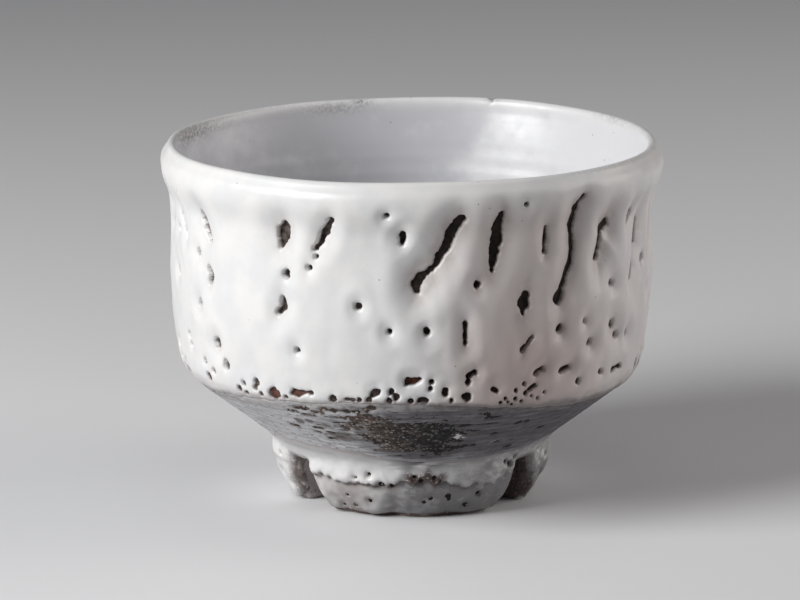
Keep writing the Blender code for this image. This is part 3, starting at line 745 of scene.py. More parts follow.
def crawl_holes():
    """Every hole in the outer glaze: its run of (u, v, half width), and its dent's size, depth and pull."""
    rng = np.random.default_rng(11)
    holes = []

    def gash(chain, big, high):
        dent = (1.3 + 1.7 * big, min(1.5, 0.65 + 0.8 * big), 0.6) if high else (1.4, 0.7, 0.7)
        holes.append((chain, *dent))

    def pinhole(azimuth, height, half, tall, high):
        u, v = bowl.place(azimuth, height, WALL_U)
        reach = max(tall - half, 0)
        dent = (1.5 + 0.9 * half, 0.6 + 0.7 * half, 0.8) if high else (1.1 + 0.4 * half, 0.5, 1)
        holes.append(([(u, v - reach, half), (u, v + reach, half)], *dent))

    for run in GASHES:
        chain = [(*bowl.place(azimuth, height, WALL_U), half) for azimuth, height, half in run]
        gash(chain, max(half for _, _, half in run), min(height for _, height, _ in run) > HIGH_UP)
    for azimuth, height, half, tall in PINHOLES:
        pinhole(azimuth, height, half, tall, height > HIGH_UP)
    for azimuth, height, length, half, lean in BACK_GASHES:
        u, v = bowl.place(azimuth, height, WALL_U)
        chain = []
        for share in (-0.5, -0.2, 0.2, 0.5):
            tilt = radians(lean) + 0.25 * sin(azimuth) * share
            width = half * (1 - 1.8 * abs(share) ** 1.5)
            chain.append((u - length * share * tan(tilt), v + length * share, max(width, 0.35)))
        gash(chain, half, True)
    for _ in range(BACK_PINHOLES):
        azimuth = rng.uniform(BACK_FROM, BACK_TO)
        near_hip = rng.random() < BACK_NEAR_HIP
        height = 34.5 + 7.5 * rng.random() ** 1.8 if near_hip else rng.uniform(42, 72)
        half = rng.uniform(0.34, 0.85) if near_hip else rng.uniform(0.4, 0.9)
        tall = half * rng.uniform(0.9, 1.6)
        if abs(azimuth - 180) > BACK_SEAM:
            pinhole((azimuth + 180) % 360 - 180, height, half, tall, not near_hip)
    return holes


def build_outer_glaze(material):
    """The thick coat. It crawled back from its holes, which lie in soft dents with raised lips."""
    u = all_round(WALL_U, FINE_CELL)
    edge = low_edge(u / WALL_U)
    top = AT_MOUTH - 6
    v = np.arange(top - 1, edge.max() + 1.5, FINE_CELL)
    grid_u, grid_v = np.meshgrid(u, v, indexing="ij")
    cover = np.minimum(grid_v - top, edge[:, None] - grid_v)
    dents = np.zeros_like(cover)
    lips = np.zeros_like(cover)
    for chain, size, depth, pull in crawl_holes():
        low = np.min(chain, axis=0)
        high = np.max(chain, axis=0)
        calm = 1.12 - CALM * float(ease(np.cos(chain[0][0] / WALL_U - CALM_MIDDLE), 0.45, 0.85))
        size *= 0.5 + 0.5 * calm
        depth *= calm
        reach = 3 * size + 2
        i = slice(*np.searchsorted(u, (low[0] - reach, high[0] + reach)))
        j = slice(*np.searchsorted(v, (low[1] - 1.6 * reach, high[1] + 1.6 * reach)))
        near = grid_u[i, j], grid_v[i, j]
        gap = run_distance(chain, *near)
        wobble = min(0.42, 0.58 * high[2]) * layered(bowl.points(near[0] / WALL_U, near[1]), HOLE_EDGE)
        cover[i, j] = np.minimum(cover[i, j], gap + wobble * np.exp(-np.maximum(gap, 0)))
        soft = np.maximum(run_distance(chain, *near, pull), 0) / size
        dents[i, j] += (depth * (0.6 * bell(soft) + 0.4 * np.exp(-2.2 * soft))) ** 4
        lips[i, j] = np.maximum(lips[i, j], 0.22 * depth * bell(soft - 1.7, 0.8))
    relief = lips - dents**0.25

    def relief_at(at_u, at_v):
        return sampled(relief, u, v, at_u, at_v)

    def above_edge(at_u, at_v):
        return np.interp(at_u, u, edge) - at_v

    def outside(at_v):
        return ease(at_v, AT_CROWN, AT_RIM + 4)

    def thickness(at_u, at_v, at_cover):
        swell = layered(bowl.points(at_u / WALL_U, at_v), SWELL)
        swell *= 1 + 0.6 * ease(np.sin(at_u / WALL_U), 0.1, 0.5)
        depth = clay_depth(at_u, at_v)
        uneven = outside(at_v) * (swell + relief_at(at_u, at_v))
        full = depth + 0.03 + uneven * np.minimum(1, depth / WALL_DEPTH + 0.05)
        full *= 0.42 + 0.58 * ease(above_edge(at_u, at_v), 0, 2.4)
        full -= 0.1 * (1 - ease(at_v - top, 0, 6))
        return rolled(np.maximum(full, 0.25), at_cover / 0.6, 0.2)

    coat = Coat(bowl, WALL_U, cover, u, v, *OUTER_SPACING)
    shape, at_u, at_v, at_cover = coat.mesh(thickness, clay_depth, 0.32)
    azimuth = at_u / WALL_U
    # Painted shade and warm reflection: the darker tan is stronger lower on the wall and reaches up under the
    # lip
    lower = 0.6 + 0.4 * ease(at_v, AT_RIM + 18, AT_HIP - 8)
    neck = 0.3 * ease(at_v, AT_CROWN - 1, AT_RIM) + 0.7 * ease(at_v, AT_RIM - 1, AT_RIM + 7)
    low_reach = 2.4 + 4.6 * ease(np.sin(azimuth), 0.3, 0.8)
    add_piece("outer_glaze_skin", shape, material, "outer_glaze", "white_glaze",
              thick=thickness(at_u, at_v, np.maximum(at_cover, 0)),
              inside=1 - ease(at_v, AT_MOUTH - 1, AT_CROWN + 1),
              worn=spread(WORN_LIP, azimuth, at_v - AT_CROWN, WALL_U),
              # Painted shade and warm reflection on the right of the outer glaze
              warm=by_azimuth(WARMTH, azimuth) * lower * neck,
              # Depth in the dents, which darkens them: thin glaze and painted shade
              sunk=np.clip(-relief_at(at_u, at_v), 0, 1.5) / 1.5 * outside(at_v),
              # Painted shade: which side takes the shaded copies of the low edge's colours
              low=1 - ease(above_edge(at_u, at_v), -0.3, low_reach), dim=from_light(azimuth),
              # The inside's greyness by azimuth is painted shade
              clouded=by_azimuth(CLOUDED, azimuth), rim=1 - ease(at_cover, 0, 0.4))


def build_inner_glaze(material):
    """The coat inside, with faint rings of throwing that calm down towards the mouth."""
    upper = np.linspace(0, AT_MOUTH - 1, 120)
    v = np.concatenate([upper, np.linspace(AT_MOUTH - 1, 0, 40)])
    on_top = np.arange(len(v)) < len(upper)
    calm = 1 - ease(v, AT_MOUTH - 12, AT_MOUTH - 6)
    rings = 0.07 * np.sin(v * 1.5 + 0.4 * np.sin(v * 0.37))

    def lift(points, row):
        return np.where(on_top[row], calm[row] * (rings[row] + layered(points, INSIDE_WAVES)), -0.7)

    shape = turned(*bowl.outline(v), INSIDE_ROUND, lift)
    full = np.ones(len(shape[0]))
    # The inside's greyness by azimuth is painted shade
    add_piece("inner_glaze_skin", shape, material, "inner_glaze", "inner_white_glaze",
              thick=full, inside=full, clouded=by_azimuth(CLOUDED, azimuth_of(shape[0])))


def build_clay(material):
    """The clay of the bowl, gritty outside and underneath."""
    low_wall = AT_HIP - 2.5
    stretches = ((0, AT_MOUTH, 12), (AT_MOUTH, low_wall, 44), (low_wall, AT_FOOT, 68))
    v = np.concatenate([[0], *(np.linspace(*stretch)[1:] for stretch in stretches)])
    line, outward = bowl.outline(v)
    line = line - clay_depth(0, v)[:, None] * outward
    under = np.linspace(line[-1, 0] - 0.4, 0, 12)
    line = np.concatenate([line, stacked(under, FOOT_TOP + 0.3)])
    outward = np.concatenate([outward, np.tile([0, -1], (len(under), 1))])
    grit = np.concatenate([v >= AT_MOUTH, np.full(len(under), 0.6)])
    shape = turned(line, outward, CLAY_ROUND, lambda points, row: grit[row] * layered(points, CLAY_GRIT))
    azimuth = azimuth_of(shape[0])
    turn = np.degrees(azimuth)
    height = shape[0][:, 2]
    # Painted light and shade for the holes, lit on the front left; it also splits the bare patch into brown
    # and black
    dark = np.maximum(ease(turn + 0.12 * (height - 26), -15, 7), ease(-turn, 44, 52))
    add_piece("clay_bowl", shape, material, "clay_body", "dark_clay",
              rust=spread(CLAY_RUST, azimuth, height, WALL_U), bare=ease(35.2 - height, 0, 1.6), dark=dark)


def build_wash(material):
    """The thin wash on the waist, worn to streaks and gone from a patch at the front."""
    u = all_round(WAIST_U, WASH_CELL)
    v = np.arange(AT_HIP - 4.2, AT_FOOT + 0.6, WASH_CELL)
    grid_u, grid_v = np.meshgrid(u, v, indexing="ij")
    points = bowl.points(grid_u / WAIST_U, grid_v)
    front = bell(grid_u / WAIST_U - 0.2, 0.7)
    patch = [(*bowl.place(azimuth, height, WAIST_U), half) for azimuth, height, half in BARE_PATCH]
    from_patch = run_distance(patch, grid_u, grid_v)
    cover = np.minimum(2.6 - 1.1 * front, 0.32 * from_patch) + layered(points, WASH_STREAKS)
    cover += layered(points, PATCH_SPECKS) * bell(from_patch, 5)
    for azimuth, height, long, half in DASHES:
        centre, place = bowl.place(azimuth, height, WAIST_U)
        i = slice(*np.searchsorted(u, (centre - long - 4, centre + long + 4)))
        dash = [(centre - long, place, half), (centre + long, place, half)]
        gap = run_distance(dash, grid_u[i], grid_v[i])
        cover[i] = np.minimum(cover[i], gap + layered(points[i], DASH_EDGE))
    cover = np.minimum(cover, grid_v - (low_edge(u / WAIST_U)[:, None] - 0.9))
    cover = np.minimum(cover, AT_FOOT + 0.3 - grid_v)

    def thickness(at_u, at_v, at_cover):
        scored = layered(bowl.points(at_u / WAIST_U, at_v), WASH_SCORES)
        return 0.3 * ease(at_cover, 0, 1.1) - 0.06 + scored * ease(at_cover, 0, 0.8)

    coat = Coat(bowl, WAIST_U, cover, u, v, *WASH_SPACING)
    shape, _, _, at_cover = coat.mesh(thickness, clay_depth, 0.3)
    azimuth = azimuth_of(shape[0])
    height = shape[0][:, 2]
    # Paleness of the wash: partly its own tone, partly painted light and shade by side
    pale = by_azimuth(PALE_WASH, azimuth) + 0.3 * ease(20.5 - height, 0, 4) + layered(shape[0], PALE_CLOUDS)
    # Painted shade by side, which also sets how far the glaze's edge colour reaches down the wash
    dim = from_light(azimuth)
    below = bowl.outside_at(height) - low_edge(azimuth)
    add_piece("waist_wash_skin", shape, material, "waist_wash", "grey_wash",
              thick=np.clip(at_cover, 0, 4), pale=pale, dim=dim,
              low=1 - ease(below, 0, 2.6 + 2.8 * (1 - dim)),
              # The flecks are raised and painted white as highlights
              stain=spread(STAINS, azimuth, height, WAIST_U), fleck=spread(FLECKS, azimuth, height, WAIST_U))


# The foot's skin and the places of its key points along it
foot = Skin(FOOT_SKIN)
AT_FILLET, AT_FOOT_WALL = foot.keys[1:3]


def notch_half(height):
    """Half the width of a notch, which flares downwards."""
    flare = (NOTCH_WIDTH - NOTCH_TOP_WIDTH) / NOTCH_TOP
    return 0.5 * (NOTCH_WIDTH - flare * np.clip(height, 0, NOTCH_TOP))


def from_notch(across, height):
    """Distance from a notch, below 0 inside it. across is measured round the foot from the notch's middle."""
    beside = np.abs(across) - notch_half(height)
    above = height - NOTCH_TOP
    outside = np.hypot(np.maximum(beside, 0), np.maximum(above, 0))
    return np.where((beside < 0) & (above < 0), np.maximum(beside, above), outside)


def worn_back(gap):
    """How far the foot's outside is rounded back at a distance from a notch."""
    left = NOTCH_ROUND - np.clip(gap, 0, NOTCH_ROUND)
    return 0.7 * (NOTCH_ROUND - np.sqrt(NOTCH_ROUND**2 - left**2))


def foot_depth(v):
    """Depth of the clay under the foot's skin: as on the waist, then as on the foot."""
    return np.interp(v, (AT_FILLET, AT_FOOT_WALL), (WAIST_DEPTH, FOOT_DEPTH))


def build_foot_coat(side, first, last, ledge, worn_reach, material):
    """Glaze on one lobe of the foot, between two notches. ledge is how strong its ledge is."""
    low, high = radians(first) * FOOT_U, radians(last) * FOOT_U
    end = foot.along[-1]
    u = np.arange(low - 3, high + 3, FINE_CELL)
    v = np.arange(-0.6, end + 0.6, FINE_CELL)
    grid_u, grid_v = np.meshgrid(u, v, indexing="ij")
    points = foot.points(grid_u / FOOT_U, grid_v)
    pinholes = [(*foot.place(azimuth, height, FOOT_U), half) for azimuth, height, half in FOOT_PINHOLES]

    def height_at(at_v):
        return np.interp(at_v, foot.along, foot.height)

    def top(at_u):
        """v of the upper edge, on the waist."""
        turn = wrapped(at_u / FOOT_U)
        uneven = layered(around(FOOT_U, turn, 0), FOOT_EDGE_WAVES)
        return foot.outside_at(by_azimuth(FOOT_EDGE, turn) + uneven)

    def notch_gap(at_u, at_v):
        """Distance from the nearer notch."""
        return np.minimum(*(from_notch(at_u - middle, height_at(at_v)) for middle in (low, high)))

    def pinhole_gap(at_u, at_v):
        """Distance from the nearest pinhole."""
        gaps = [np.hypot(at_u - centre, at_v - place) - half for centre, place, half in pinholes]
        return np.min(gaps, axis=0)

    def ledge_at(at_u):
        """How strong the ledge is. It fades at the right of the front."""
        return ledge * (1 - 0.6 * ease(at_u / FOOT_U, 0.28, 0.6) * ease(1.6 - at_u / FOOT_U, 0, 0.4))

    def below_ledge(at_u, at_v):
        """Distance below the ledge, where a thicker upper coat ends."""
        place = foot.points(at_u / FOOT_U, at_v)
        uneven = layered(place * [1, 1, 0], LEDGE_WAVES)
        return by_azimuth(LEDGE, wrapped(at_u / FOOT_U)) + uneven - place[..., 2]

    def depth(at_u, at_v):
        return foot_depth(at_v) + worn_back(notch_gap(at_u, at_v))

    def thickness(at_u, at_v, at_cover):
        place = foot.points(at_u / FOOT_U, at_v)
        below = below_ledge(at_u, at_v)
        ridge = ledge_at(at_u)
        uneven = layered(place, FOOT_LUMPS) - 0.55 * bell(np.maximum(pinhole_gap(at_u, at_v), 0))
        uneven += layered(place, LOW_LUMPS) * ease(below, -0.5, 1)
        uneven += layered(place, DRIPS) * ridge * bell(below + 1, 2.2)
        full = foot_depth(at_v) * (1 + uneven / FOOT_DEPTH) + 0.05
        full += ridge * (0.36 * bell(below + 1.5, 1.4) - 0.95 * ease(below, -0.25, 0.25))
        full *= 0.35 + 0.65 * ease(at_v - top(at_u), 0, 3.5)
        full *= 0.3 + 0.7 * ease(notch_gap(at_u, at_v), 0.2, 2.6)
        return rolled(np.maximum(full, 0.15), at_cover / 0.7, 0.25)

    ragged = layered(points, FOOT_RAGGED)
    under_top = grid_v - top(u)[:, None] + layered(points, FOOT_STREAKS)
    limits = (
        np.maximum(under_top, grid_v - AT_FILLET),
        grid_v - 0.2,
        end - 0.15 - grid_v + 0.1 * ragged,
        notch_gap(grid_u, grid_v) - 0.25 + 0.35 * ragged,
        np.minimum(grid_u - low, high - grid_u) + 0.7,
        pinhole_gap(grid_u, grid_v) + layered(points, PINHOLE_EDGE),
    )
    coat = Coat(foot, FOOT_U, np.min(limits, axis=0), u, v, *FOOT_SPACING, wraps=False)
    shape, at_u, at_v, at_cover = coat.mesh(thickness, depth, 0.3)
    azimuth = wrapped(at_u / FOOT_U)
    height = height_at(at_v)
    below = below_ledge(at_u, at_v)
    lower = ease(below, 0, 1.2)
    ridge = ledge_at(at_u)
    across = (azimuth - radians(6)) * FOOT_U
    patchy = 0.5 + layered(shape[0], FOOT_PATCHES)
    stain = ease(6.4 - np.abs(across + 0.4), 0, 3) * ease(below + 3.4, 0, 1.8) * ease(0.5 - below, 0, 0.6)
    low_left = bell(height - 0.6, 1.5) * ease(-azimuth, 0.12, 0.4) * ease(1 + azimuth, 0, 0.3)
    rusty = (
        ledge * stain,
        ridge * bell(below - 0.25, 0.75) * np.clip(0.65 + patchy, 0, 1),
        0.85 * bell(notch_gap(at_u, at_v), worn_reach) * np.clip(0.3 + patchy, 0, 1),
        # Painted shade, laid as rust: a dark patch low on the right lobe beside the right notch
        0.9 * bell(np.degrees(azimuth) - 66, 11) * np.clip(0.35 + patchy, 0, 1) * ease(8.5 - height, 0, 4),
        0.6 * low_left * np.clip(0.2 + patchy, 0, 1),
    )
    # Grime and painted shade: darker below the ledge and towards the bottom, weak on the lit left, strong on
    # the right
    grime = 0.8 * ridge * lower + 0.45 * ease(5 - shape[0][:, 2], 0, 4)
    grime += 0.5 * bell(across, 13) * ease(15 - height, 0, 3)
    grime *= 0.3 + 0.72 * ease(azimuth, -0.35, 0.1)
    grime += ease(azimuth, 0.1, 0.7) * ease(1.9 - azimuth, 0, 0.5) * (0.85 + 0.5 * lower)
    name = "foot_glaze_" + side
    add_piece(name + "_skin", shape, material, name, name + "_white",
              thick=thickness(at_u, at_v, np.maximum(at_cover, 0)), rust=np.max(rusty, axis=0), grime=grime,
              smoky=ledge * bell(across + 0.5, 8) * ease(height, 12.6, 15.4))


def lofted(name, loops, closed):
    """A raw object whose faces join each loop of points to the next. Its ends have caps unless it is closed.
    With the faces of the foot in another order, the cut has been seen to leave notches filled."""
    shape = bmesh.new()
    rings = [[shape.verts.new(point) for point in loop] for loop in (np.array(loops) * MM).tolist()]
    if closed:
        rings.append(rings[0])
    else:
        shape.faces.new(rings[0][::-1])
        shape.faces.new(rings[-1])
    for here, there in zip(rings, rings[1:]):
        for k in range(1 - len(here), 1):
            shape.faces.new((here[k - 1], here[k], there[k], there[k - 1]))
    bmesh.ops.remove_doubles(shape, verts=shape.verts, dist=1e-7)
    bmesh.ops.recalc_face_normals(shape, faces=shape.faces)
    mesh = bpy.data.meshes.new(name)
    shape.to_mesh(mesh)
    shape.free()
    return add_object(name, mesh)


def cut_foot():
    """The foot's clay with sharp notches cut and every edge worn round: points, their normals, and faces."""
    v = np.linspace(AT_FILLET, foot.along[-1], 26)
    outer, outward = foot.outline(v)
    outer = outer - foot_depth(v)[:, None] * outward
    outer[:, 1] = np.clip(outer[:, 1], 0, FOOT_TOP)
    inner = [(28, 0), (22.5, 0), (21, 0.6), (BORE_RADIUS + 0.4, 2.5), (BORE_RADIUS - 0.8, FOOT_TOP)]
    radius, height = np.concatenate([outer, inner]).T
    angles = np.arange(FOOT_ROUND) * tau / FOOT_ROUND
    raw = lofted("foot_raw", [around(radius, angle, height) for angle in angles], True)
    tools = [raw]
    top_half = float(notch_half(NOTCH_TOP))
    shoulder = [(top_half + 0.3, NOTCH_TOP - 1.4), (top_half - 0.2, NOTCH_TOP - 0.4), (1.3, NOTCH_TOP)]
    right = [(float(notch_half(-2)) + 0.5, -2), *shoulder]
    across, height = np.array([(-half, z) for half, z in right] + right[::-1]).T
    for angle in np.radians(NOTCHES):
        sideways = stacked(across * cos(angle), across * sin(angle), height)
        notch = lofted("notch", [around(reach, angle, 0) + sideways for reach in NOTCH_REACH], False)
        cut = raw.modifiers.new("cut", "BOOLEAN")
        cut.operation = "DIFFERENCE"
        cut.solver = "EXACT"
        cut.object = notch
        tools.append(notch)
    remesh = raw.modifiers.new("even", "REMESH")
    remesh.mode = "VOXEL"
    remesh.voxel_size = FOOT_VOXEL * MM
    raw.modifiers.new("worn", "SMOOTH").iterations = 8
    shaped = bpy.data.meshes.new_from_object(raw.evaluated_get(bpy.context.evaluated_depsgraph_get()))
    for data in [tool.data for tool in tools]:
        bpy.data.meshes.remove(data)
    shaped.calc_loop_triangles()

    def read(items, key, kind=float):
        values = np.zeros(len(items) * 3, kind)
        items.foreach_get(key, values)
        return values.reshape(-1, 3)

    points = read(shaped.vertices, "co") / MM
    normals = read(shaped.vertices, "normal")
    faces = read(shaped.loop_triangles, "vertices", int)
    bpy.data.meshes.remove(shaped)
    return points, normals, faces


def build_foot_ring(material):
    """The clay foot, lumpy above the face that it stands on."""
    points, normals, faces = cut_foot()
    lumps = layered(points, FOOT_CLAY_LUMPS) * ease(points[:, 2], 0.15, 1.2)
    points = points + lumps[:, None] * normals
    azimuth = azimuth_of(points)
    turn = np.degrees(azimuth)
    radius = np.hypot(points[:, 0], points[:, 1])
    turns = [wrapped(azimuth - radians(notch)) for notch in NOTCHES]
    gap = np.min([from_notch(from_middle * FOOT_U, points[:, 2]) for from_middle in turns], axis=0)
    inward = np.interp(foot.outside_at(points[:, 2]), foot.along, foot.radius) - radius
    points[:, :2] *= (1 - worn_back(gap) * ease(-inward, -6, -1.6) / radius)[:, None]
    points[:, 2] = np.maximum(points[:, 2], 0)
    height = points[:, 2]
    gaps = [np.hypot((azimuth - radians(at)) * FOOT_U, height - middle) for at, middle, _ in FOOT_PINHOLES]
    # Painted shade: the clay at the bottom of the foot's pinholes is painted near black
    pit = ease(1.4 - np.min(gaps, axis=0), 0, 0.5) * ease(-inward, -3, -2)
    # Painted shadow low on the left notch, and painted shade in the right notch, which lies away from the key
    # lamp
    stained = ease(-inward, -3.4, -2.4) * ease(height, 3.5, 6) * bell(turn + 62, 7)
    smear = 0.2 + 1.1 * bell(turn + 60, 16) * ease(-inward, -15, -9) - 0.8 * stained
    soot = np.clip(bell(turn - 55, 11) + 0.55 * stained, 0, 1)
    add_piece("foot_clay", (points, faces, box_places(points, faces)), material, "foot_ring", "foot_clay",
              pit=pit, smear=smear, soot=soot)


def box_places(points, faces):
    """Flat places for the faces of a ring. Outside, inside, top, underside and cut faces lie apart."""
    corner = points[faces]
    normal = np.cross(corner[:, 1] - corner[:, 0], corner[:, 2] - corner[:, 0])
    normal /= np.maximum(np.linalg.norm(normal, axis=1), TINY)[:, None]
    angle = azimuth_of(corner.mean(axis=1))
    facing = normal[:, 0] * np.sin(angle) - normal[:, 1] * np.cos(angle)
    sideways = normal[:, 0] * np.cos(angle) + normal[:, 1] * np.sin(angle)
    turn = angle[:, None] + wrapped(azimuth_of(corner) - angle[:, None])
    flats = stacked(25 * turn, corner[..., 2], 0)
    flats[facing < 0, :, 1] += 20
    level = np.abs(normal[:, 2]) > 0.7
    flats[level, :, 0] = corner[level, :, 0] + np.where(normal[level, 2] > 0, 40, -40)[:, None]
    flats[level, :, 1] = corner[level, :, 1] + 80
    cut = ~level & (np.abs(sideways) > 0.75)
    column = np.floor((angle[cut] + pi) / tau * 24) * 6 - 72
    flats[cut, :, 0] = column[:, None] + 0.35 * (np.hypot(corner[cut, :, 0], corner[cut, :, 1]) - 20)
    flats[cut, :, 1] = corner[cut, :, 2] + np.where(sideways[cut] < 0, 120, 140)[:, None]
    return flats


# Materials
class Paint:
    """A node material on one Principled shader. A word as a value means the mesh attribute of that name."""

    def __init__(self, name, roughness, specular=0.5):
        self.material = bpy.data.materials.new(name)
        self.material.use_nodes = True
        self.tree = self.material.node_tree
        self.shader = self.tree.nodes["Principled BSDF"]
        self.set(self.shader, {"Roughness": roughness, "Specular IOR Level": specular})
        self.place = self.add("TexCoord", {})["Object"]
        self.normal = None

    def set(self, node, inputs):
        """Give a node its inputs: numbers, colours, words, or outputs of other nodes."""
        for key, value in inputs.items():
            socket = node.inputs[key]
            if isinstance(value, str):
                value = self.add("Attribute", {}, attribute_name=value)["Fac"]
            if isinstance(value, bpy.types.NodeSocket):
                self.tree.links.new(value, socket)
            else:
                socket.default_value = (*value, 1) if socket.type == "RGBA" else value

    def add(self, kind, inputs, **settings):
        node = self.tree.nodes.new("ShaderNode" + kind)
        for key, value in settings.items():
            setattr(node, key, value)
        self.set(node, inputs)
        return node.outputs

    def stretched(self, size):
        """Object coordinates counted in sizes of a pattern, in millimetres, one or by axis."""
        scale = 1 / (np.broadcast_to(size, 3) * MM)
        return self.add("Mapping", {"Vector": self.place, "Scale": scale.tolist()})["Vector"]

    def noise(self, size, detail=3, roughness=0.55):
        inputs = {"Vector": self.stretched(size), "Scale": 1, "Detail": detail, "Roughness": roughness}
        return self.add("TexNoise", inputs)["Fac"]

    def grains(self, size):
        """Distance to the middle of each grain, and a fixed number for each grain."""
        cells = self.add("TexVoronoi", {"Vector": self.stretched(size), "Scale": 1})
        return cells["Distance"], self.add("SeparateColor", {"Color": cells["Color"]})["Red"]

    def fade(self, value, low, high, to_low=0, to_high=1):
        inputs = {"Value": value, "From Min": low, "From Max": high, "To Min": to_low, "To Max": to_high}
        return self.add("MapRange", inputs, interpolation_type="SMOOTHSTEP")["Result"]

    def patches(self, size, low, high, to_low=0, to_high=1, detail=3, roughness=0.55):
        """Noise faded between two levels."""
        return self.fade(self.noise(size, detail, roughness), low, high, to_low, to_high)

    def times(self, first, second):
        return self.add("Math", {0: first, 1: second}, operation="MULTIPLY")["Value"]

    def plus(self, first, second):
        return self.add("Math", {0: first, 1: second}, operation="ADD")["Value"]

    def mix(self, share, first, second):
        return self.add("Mix", {"Factor": share, "A": first, "B": second}, data_type="RGBA")[2]

    def cover(self, tone, share, *factors):
        """Lay a tone over the colour, by a share times some factors."""
        for factor in factors:
            share = self.times(share, factor)
        self.colour = self.mix(share, self.colour, tone)

    def bump(self, height, depth, strength):
        """Lay a bump over those before it. depth is in millimetres."""
        inputs = {"Height": height, "Distance": depth * MM, "Strength": strength}
        if self.normal:
            inputs["Normal"] = self.normal
        self.normal = self.add("Bump", inputs)["Normal"]

    def sand(self, size, share, tone, *amount):
        """Grains of many sizes on the colour, and their height. share is how far the largest reach."""
        distance, number = self.grains(size)
        sand = self.fade(self.plus(distance, self.times(number, -share)), -0.04, 0.1, 1, 0)
        for factor in amount:
            sand = self.times(sand, factor)
        self.cover(tone, sand, 0.85)
        return sand

    def finish(self):
        self.set(self.shader, {"Base Color": self.colour, "Roughness": self.roughness, "Normal": self.normal})
        return self.material


WHITE = (0.8, 0.79, 0.775)
COOL_WHITE = (0.735, 0.735, 0.74)
WARM_WHITE = (0.55, 0.455, 0.425)
DENT_TINT = (0.46, 0.4, 0.375)
# Lit and shaded copies of the glaze's low edge: painted light and shade
LOW_GLAZE = (0.2, 0.182, 0.186)
LOW_PALE = (0.52, 0.5, 0.5)
INSIDE_WHITE = (0.71, 0.71, 0.725)
INSIDE_GREY = (0.53, 0.53, 0.555)
THIN_GLAZE = (0.33, 0.285, 0.265)
IRON = (0.16, 0.1, 0.07)
SMOKE = (0.17, 0.145, 0.135)
# Clay in the holes: a near-black painted shade, a lit copy for holes facing the lamp, and brown between
HOLE_DARK = (0.01, 0.008, 0.008)
HOLE_LIT = (0.15, 0.12, 0.108)
HOLE_BROWN = (0.036, 0.024, 0.019)
RUST = (0.15, 0.048, 0.028)
CLAY_DARK = (0.026, 0.026, 0.026)
CLAY_UMBER = (0.066, 0.054, 0.048)
CLAY_BLACK = (0.018, 0.021, 0.026)
CLAY_BROWN = (0.21, 0.155, 0.13)
SAND = (0.56, 0.52, 0.47)
COARSE_SAND = (0.27, 0.225, 0.195)
FOOT_CLAY = (0.22, 0.17, 0.155)
GLAZE_SMEAR = (0.66, 0.6, 0.585)
SOOT = (0.055, 0.044, 0.04)
WASH_DARK = (0.126, 0.119, 0.136)
WASH_PALE = (0.79, 0.79, 0.81)
WASH_SCORE = (0.075, 0.067, 0.07)
WASH_MOTTLE = (0.06, 0.055, 0.062)
WASH_SPECK = (0.105, 0.096, 0.105)
WASH_CHALK = (0.76, 0.75, 0.76)
WASH_THIN = (0.1, 0.082, 0.076)
WASH_STAIN = (0.13, 0.105, 0.098)
WASH_FLECK = (0.82, 0.81, 0.81)
FOOT_WHITE = (0.76, 0.75, 0.74)
FOOT_COOL = (0.68, 0.675, 0.675)
FOOT_GRIME = (0.222, 0.217, 0.222)
FOOT_SMOKY = (0.115, 0.107, 0.12)
FOOT_RUST = (0.066, 0.036, 0.03)


def glaze_paint(name, warm, cool):
    """White glaze: mottled, greyer where it is thin, with a few iron specks, an orange-peel surface and
    painted shade.
    """
    paint = Paint(name, 0.3)
    paint.colour = paint.mix(paint.patches(9, 0.35, 0.68), warm, cool)
    # Painted shade and warm reflection: a darker tan on the right side of the outer glaze
    paint.cover(WARM_WHITE, "warm")
    # Darker, browner dents: thin glaze over the clay and painted shade in the hollows
    paint.cover(DENT_TINT, paint.fade("sunk", 0.12, 0.95), paint.patches(3, 0.3, 0.7, 0.35, 0.75))
    # Random grey clouds of the inside glaze, pushed greyer towards the back by azimuth as painted shade
    cloud = paint.plus(paint.noise(13, 4), paint.times("clouded", 0.4))
    paint.cover(paint.mix(paint.fade(cloud, 0.53, 0.88), INSIDE_WHITE, INSIDE_GREY), "inside")
    low = paint.plus("low", paint.times(paint.noise((4, 4, 1.5), 4), 0.7))
    # Painted light and shade: the low edge fades to a pale lit copy on the lamp's side and a dark shaded copy
    # away from it
    paint.cover(paint.mix("dim", LOW_PALE, LOW_GLAZE), paint.fade(low, 0.5, 1.2))
    thin = paint.fade("thick", 0.12, 0.8, 1, 0)
    # Painted light and shade: the brown of thin glaze and of hole walls is weakened at the low edge on the
    # lit side
    lit_edge = paint.times("low", paint.fade("dim", 0, 1, 1, 0))
    thin_share = paint.fade(lit_edge, 0.2, 0.9, 0.75, 0.2)
    paint.cover(THIN_GLAZE, thin, thin_share)
    paint.cover(HOLE_BROWN, paint.fade("rim", 0.3, 0.9), thin_share)
    distance, number = paint.grains(2.6)
    paint.cover(IRON, paint.fade(distance, 0.05, 0.11, 1, 0), paint.fade(number, 0.9, 0.93), 0.6)
    paint.cover(SMOKE, "worn", paint.patches(0.9, 0.36, 0.6, detail=4, roughness=0.7), 0.85)
    paint.roughness = paint.plus(paint.patches(3.5, 0.3, 0.7, 0.29, 0.42), paint.times(thin, 0.2))
    paint.bump(paint.noise(1.6, 2), 0.06, 0.35)
    paint.bump(paint.noise(0.45, 2), 0.02, 0.25)
    return paint


def foot_glaze_paint(name):
    """White glaze with grime and painted shade, a smoky top, rust along its ledge and painted shade laid as
    rust by the right notch.
    """
    paint = glaze_paint(name, FOOT_WHITE, FOOT_COOL)
    # Grime and painted shade, strongest on the right side of the foot away from the lamp
    paint.cover(FOOT_GRIME, "grime", paint.patches((3, 3, 2), 0.32, 0.66, 0.42, 1, 5, 0.6))
    paint.cover(FOOT_SMOKY, "smoky", paint.patches((6, 6, 0.9), 0.3, 0.56, detail=4))
    # Rust, and a painted shade low by the right notch
    paint.cover(FOOT_RUST, "rust", paint.patches(0.9, 0.32, 0.5, detail=4, roughness=0.65))
    return paint


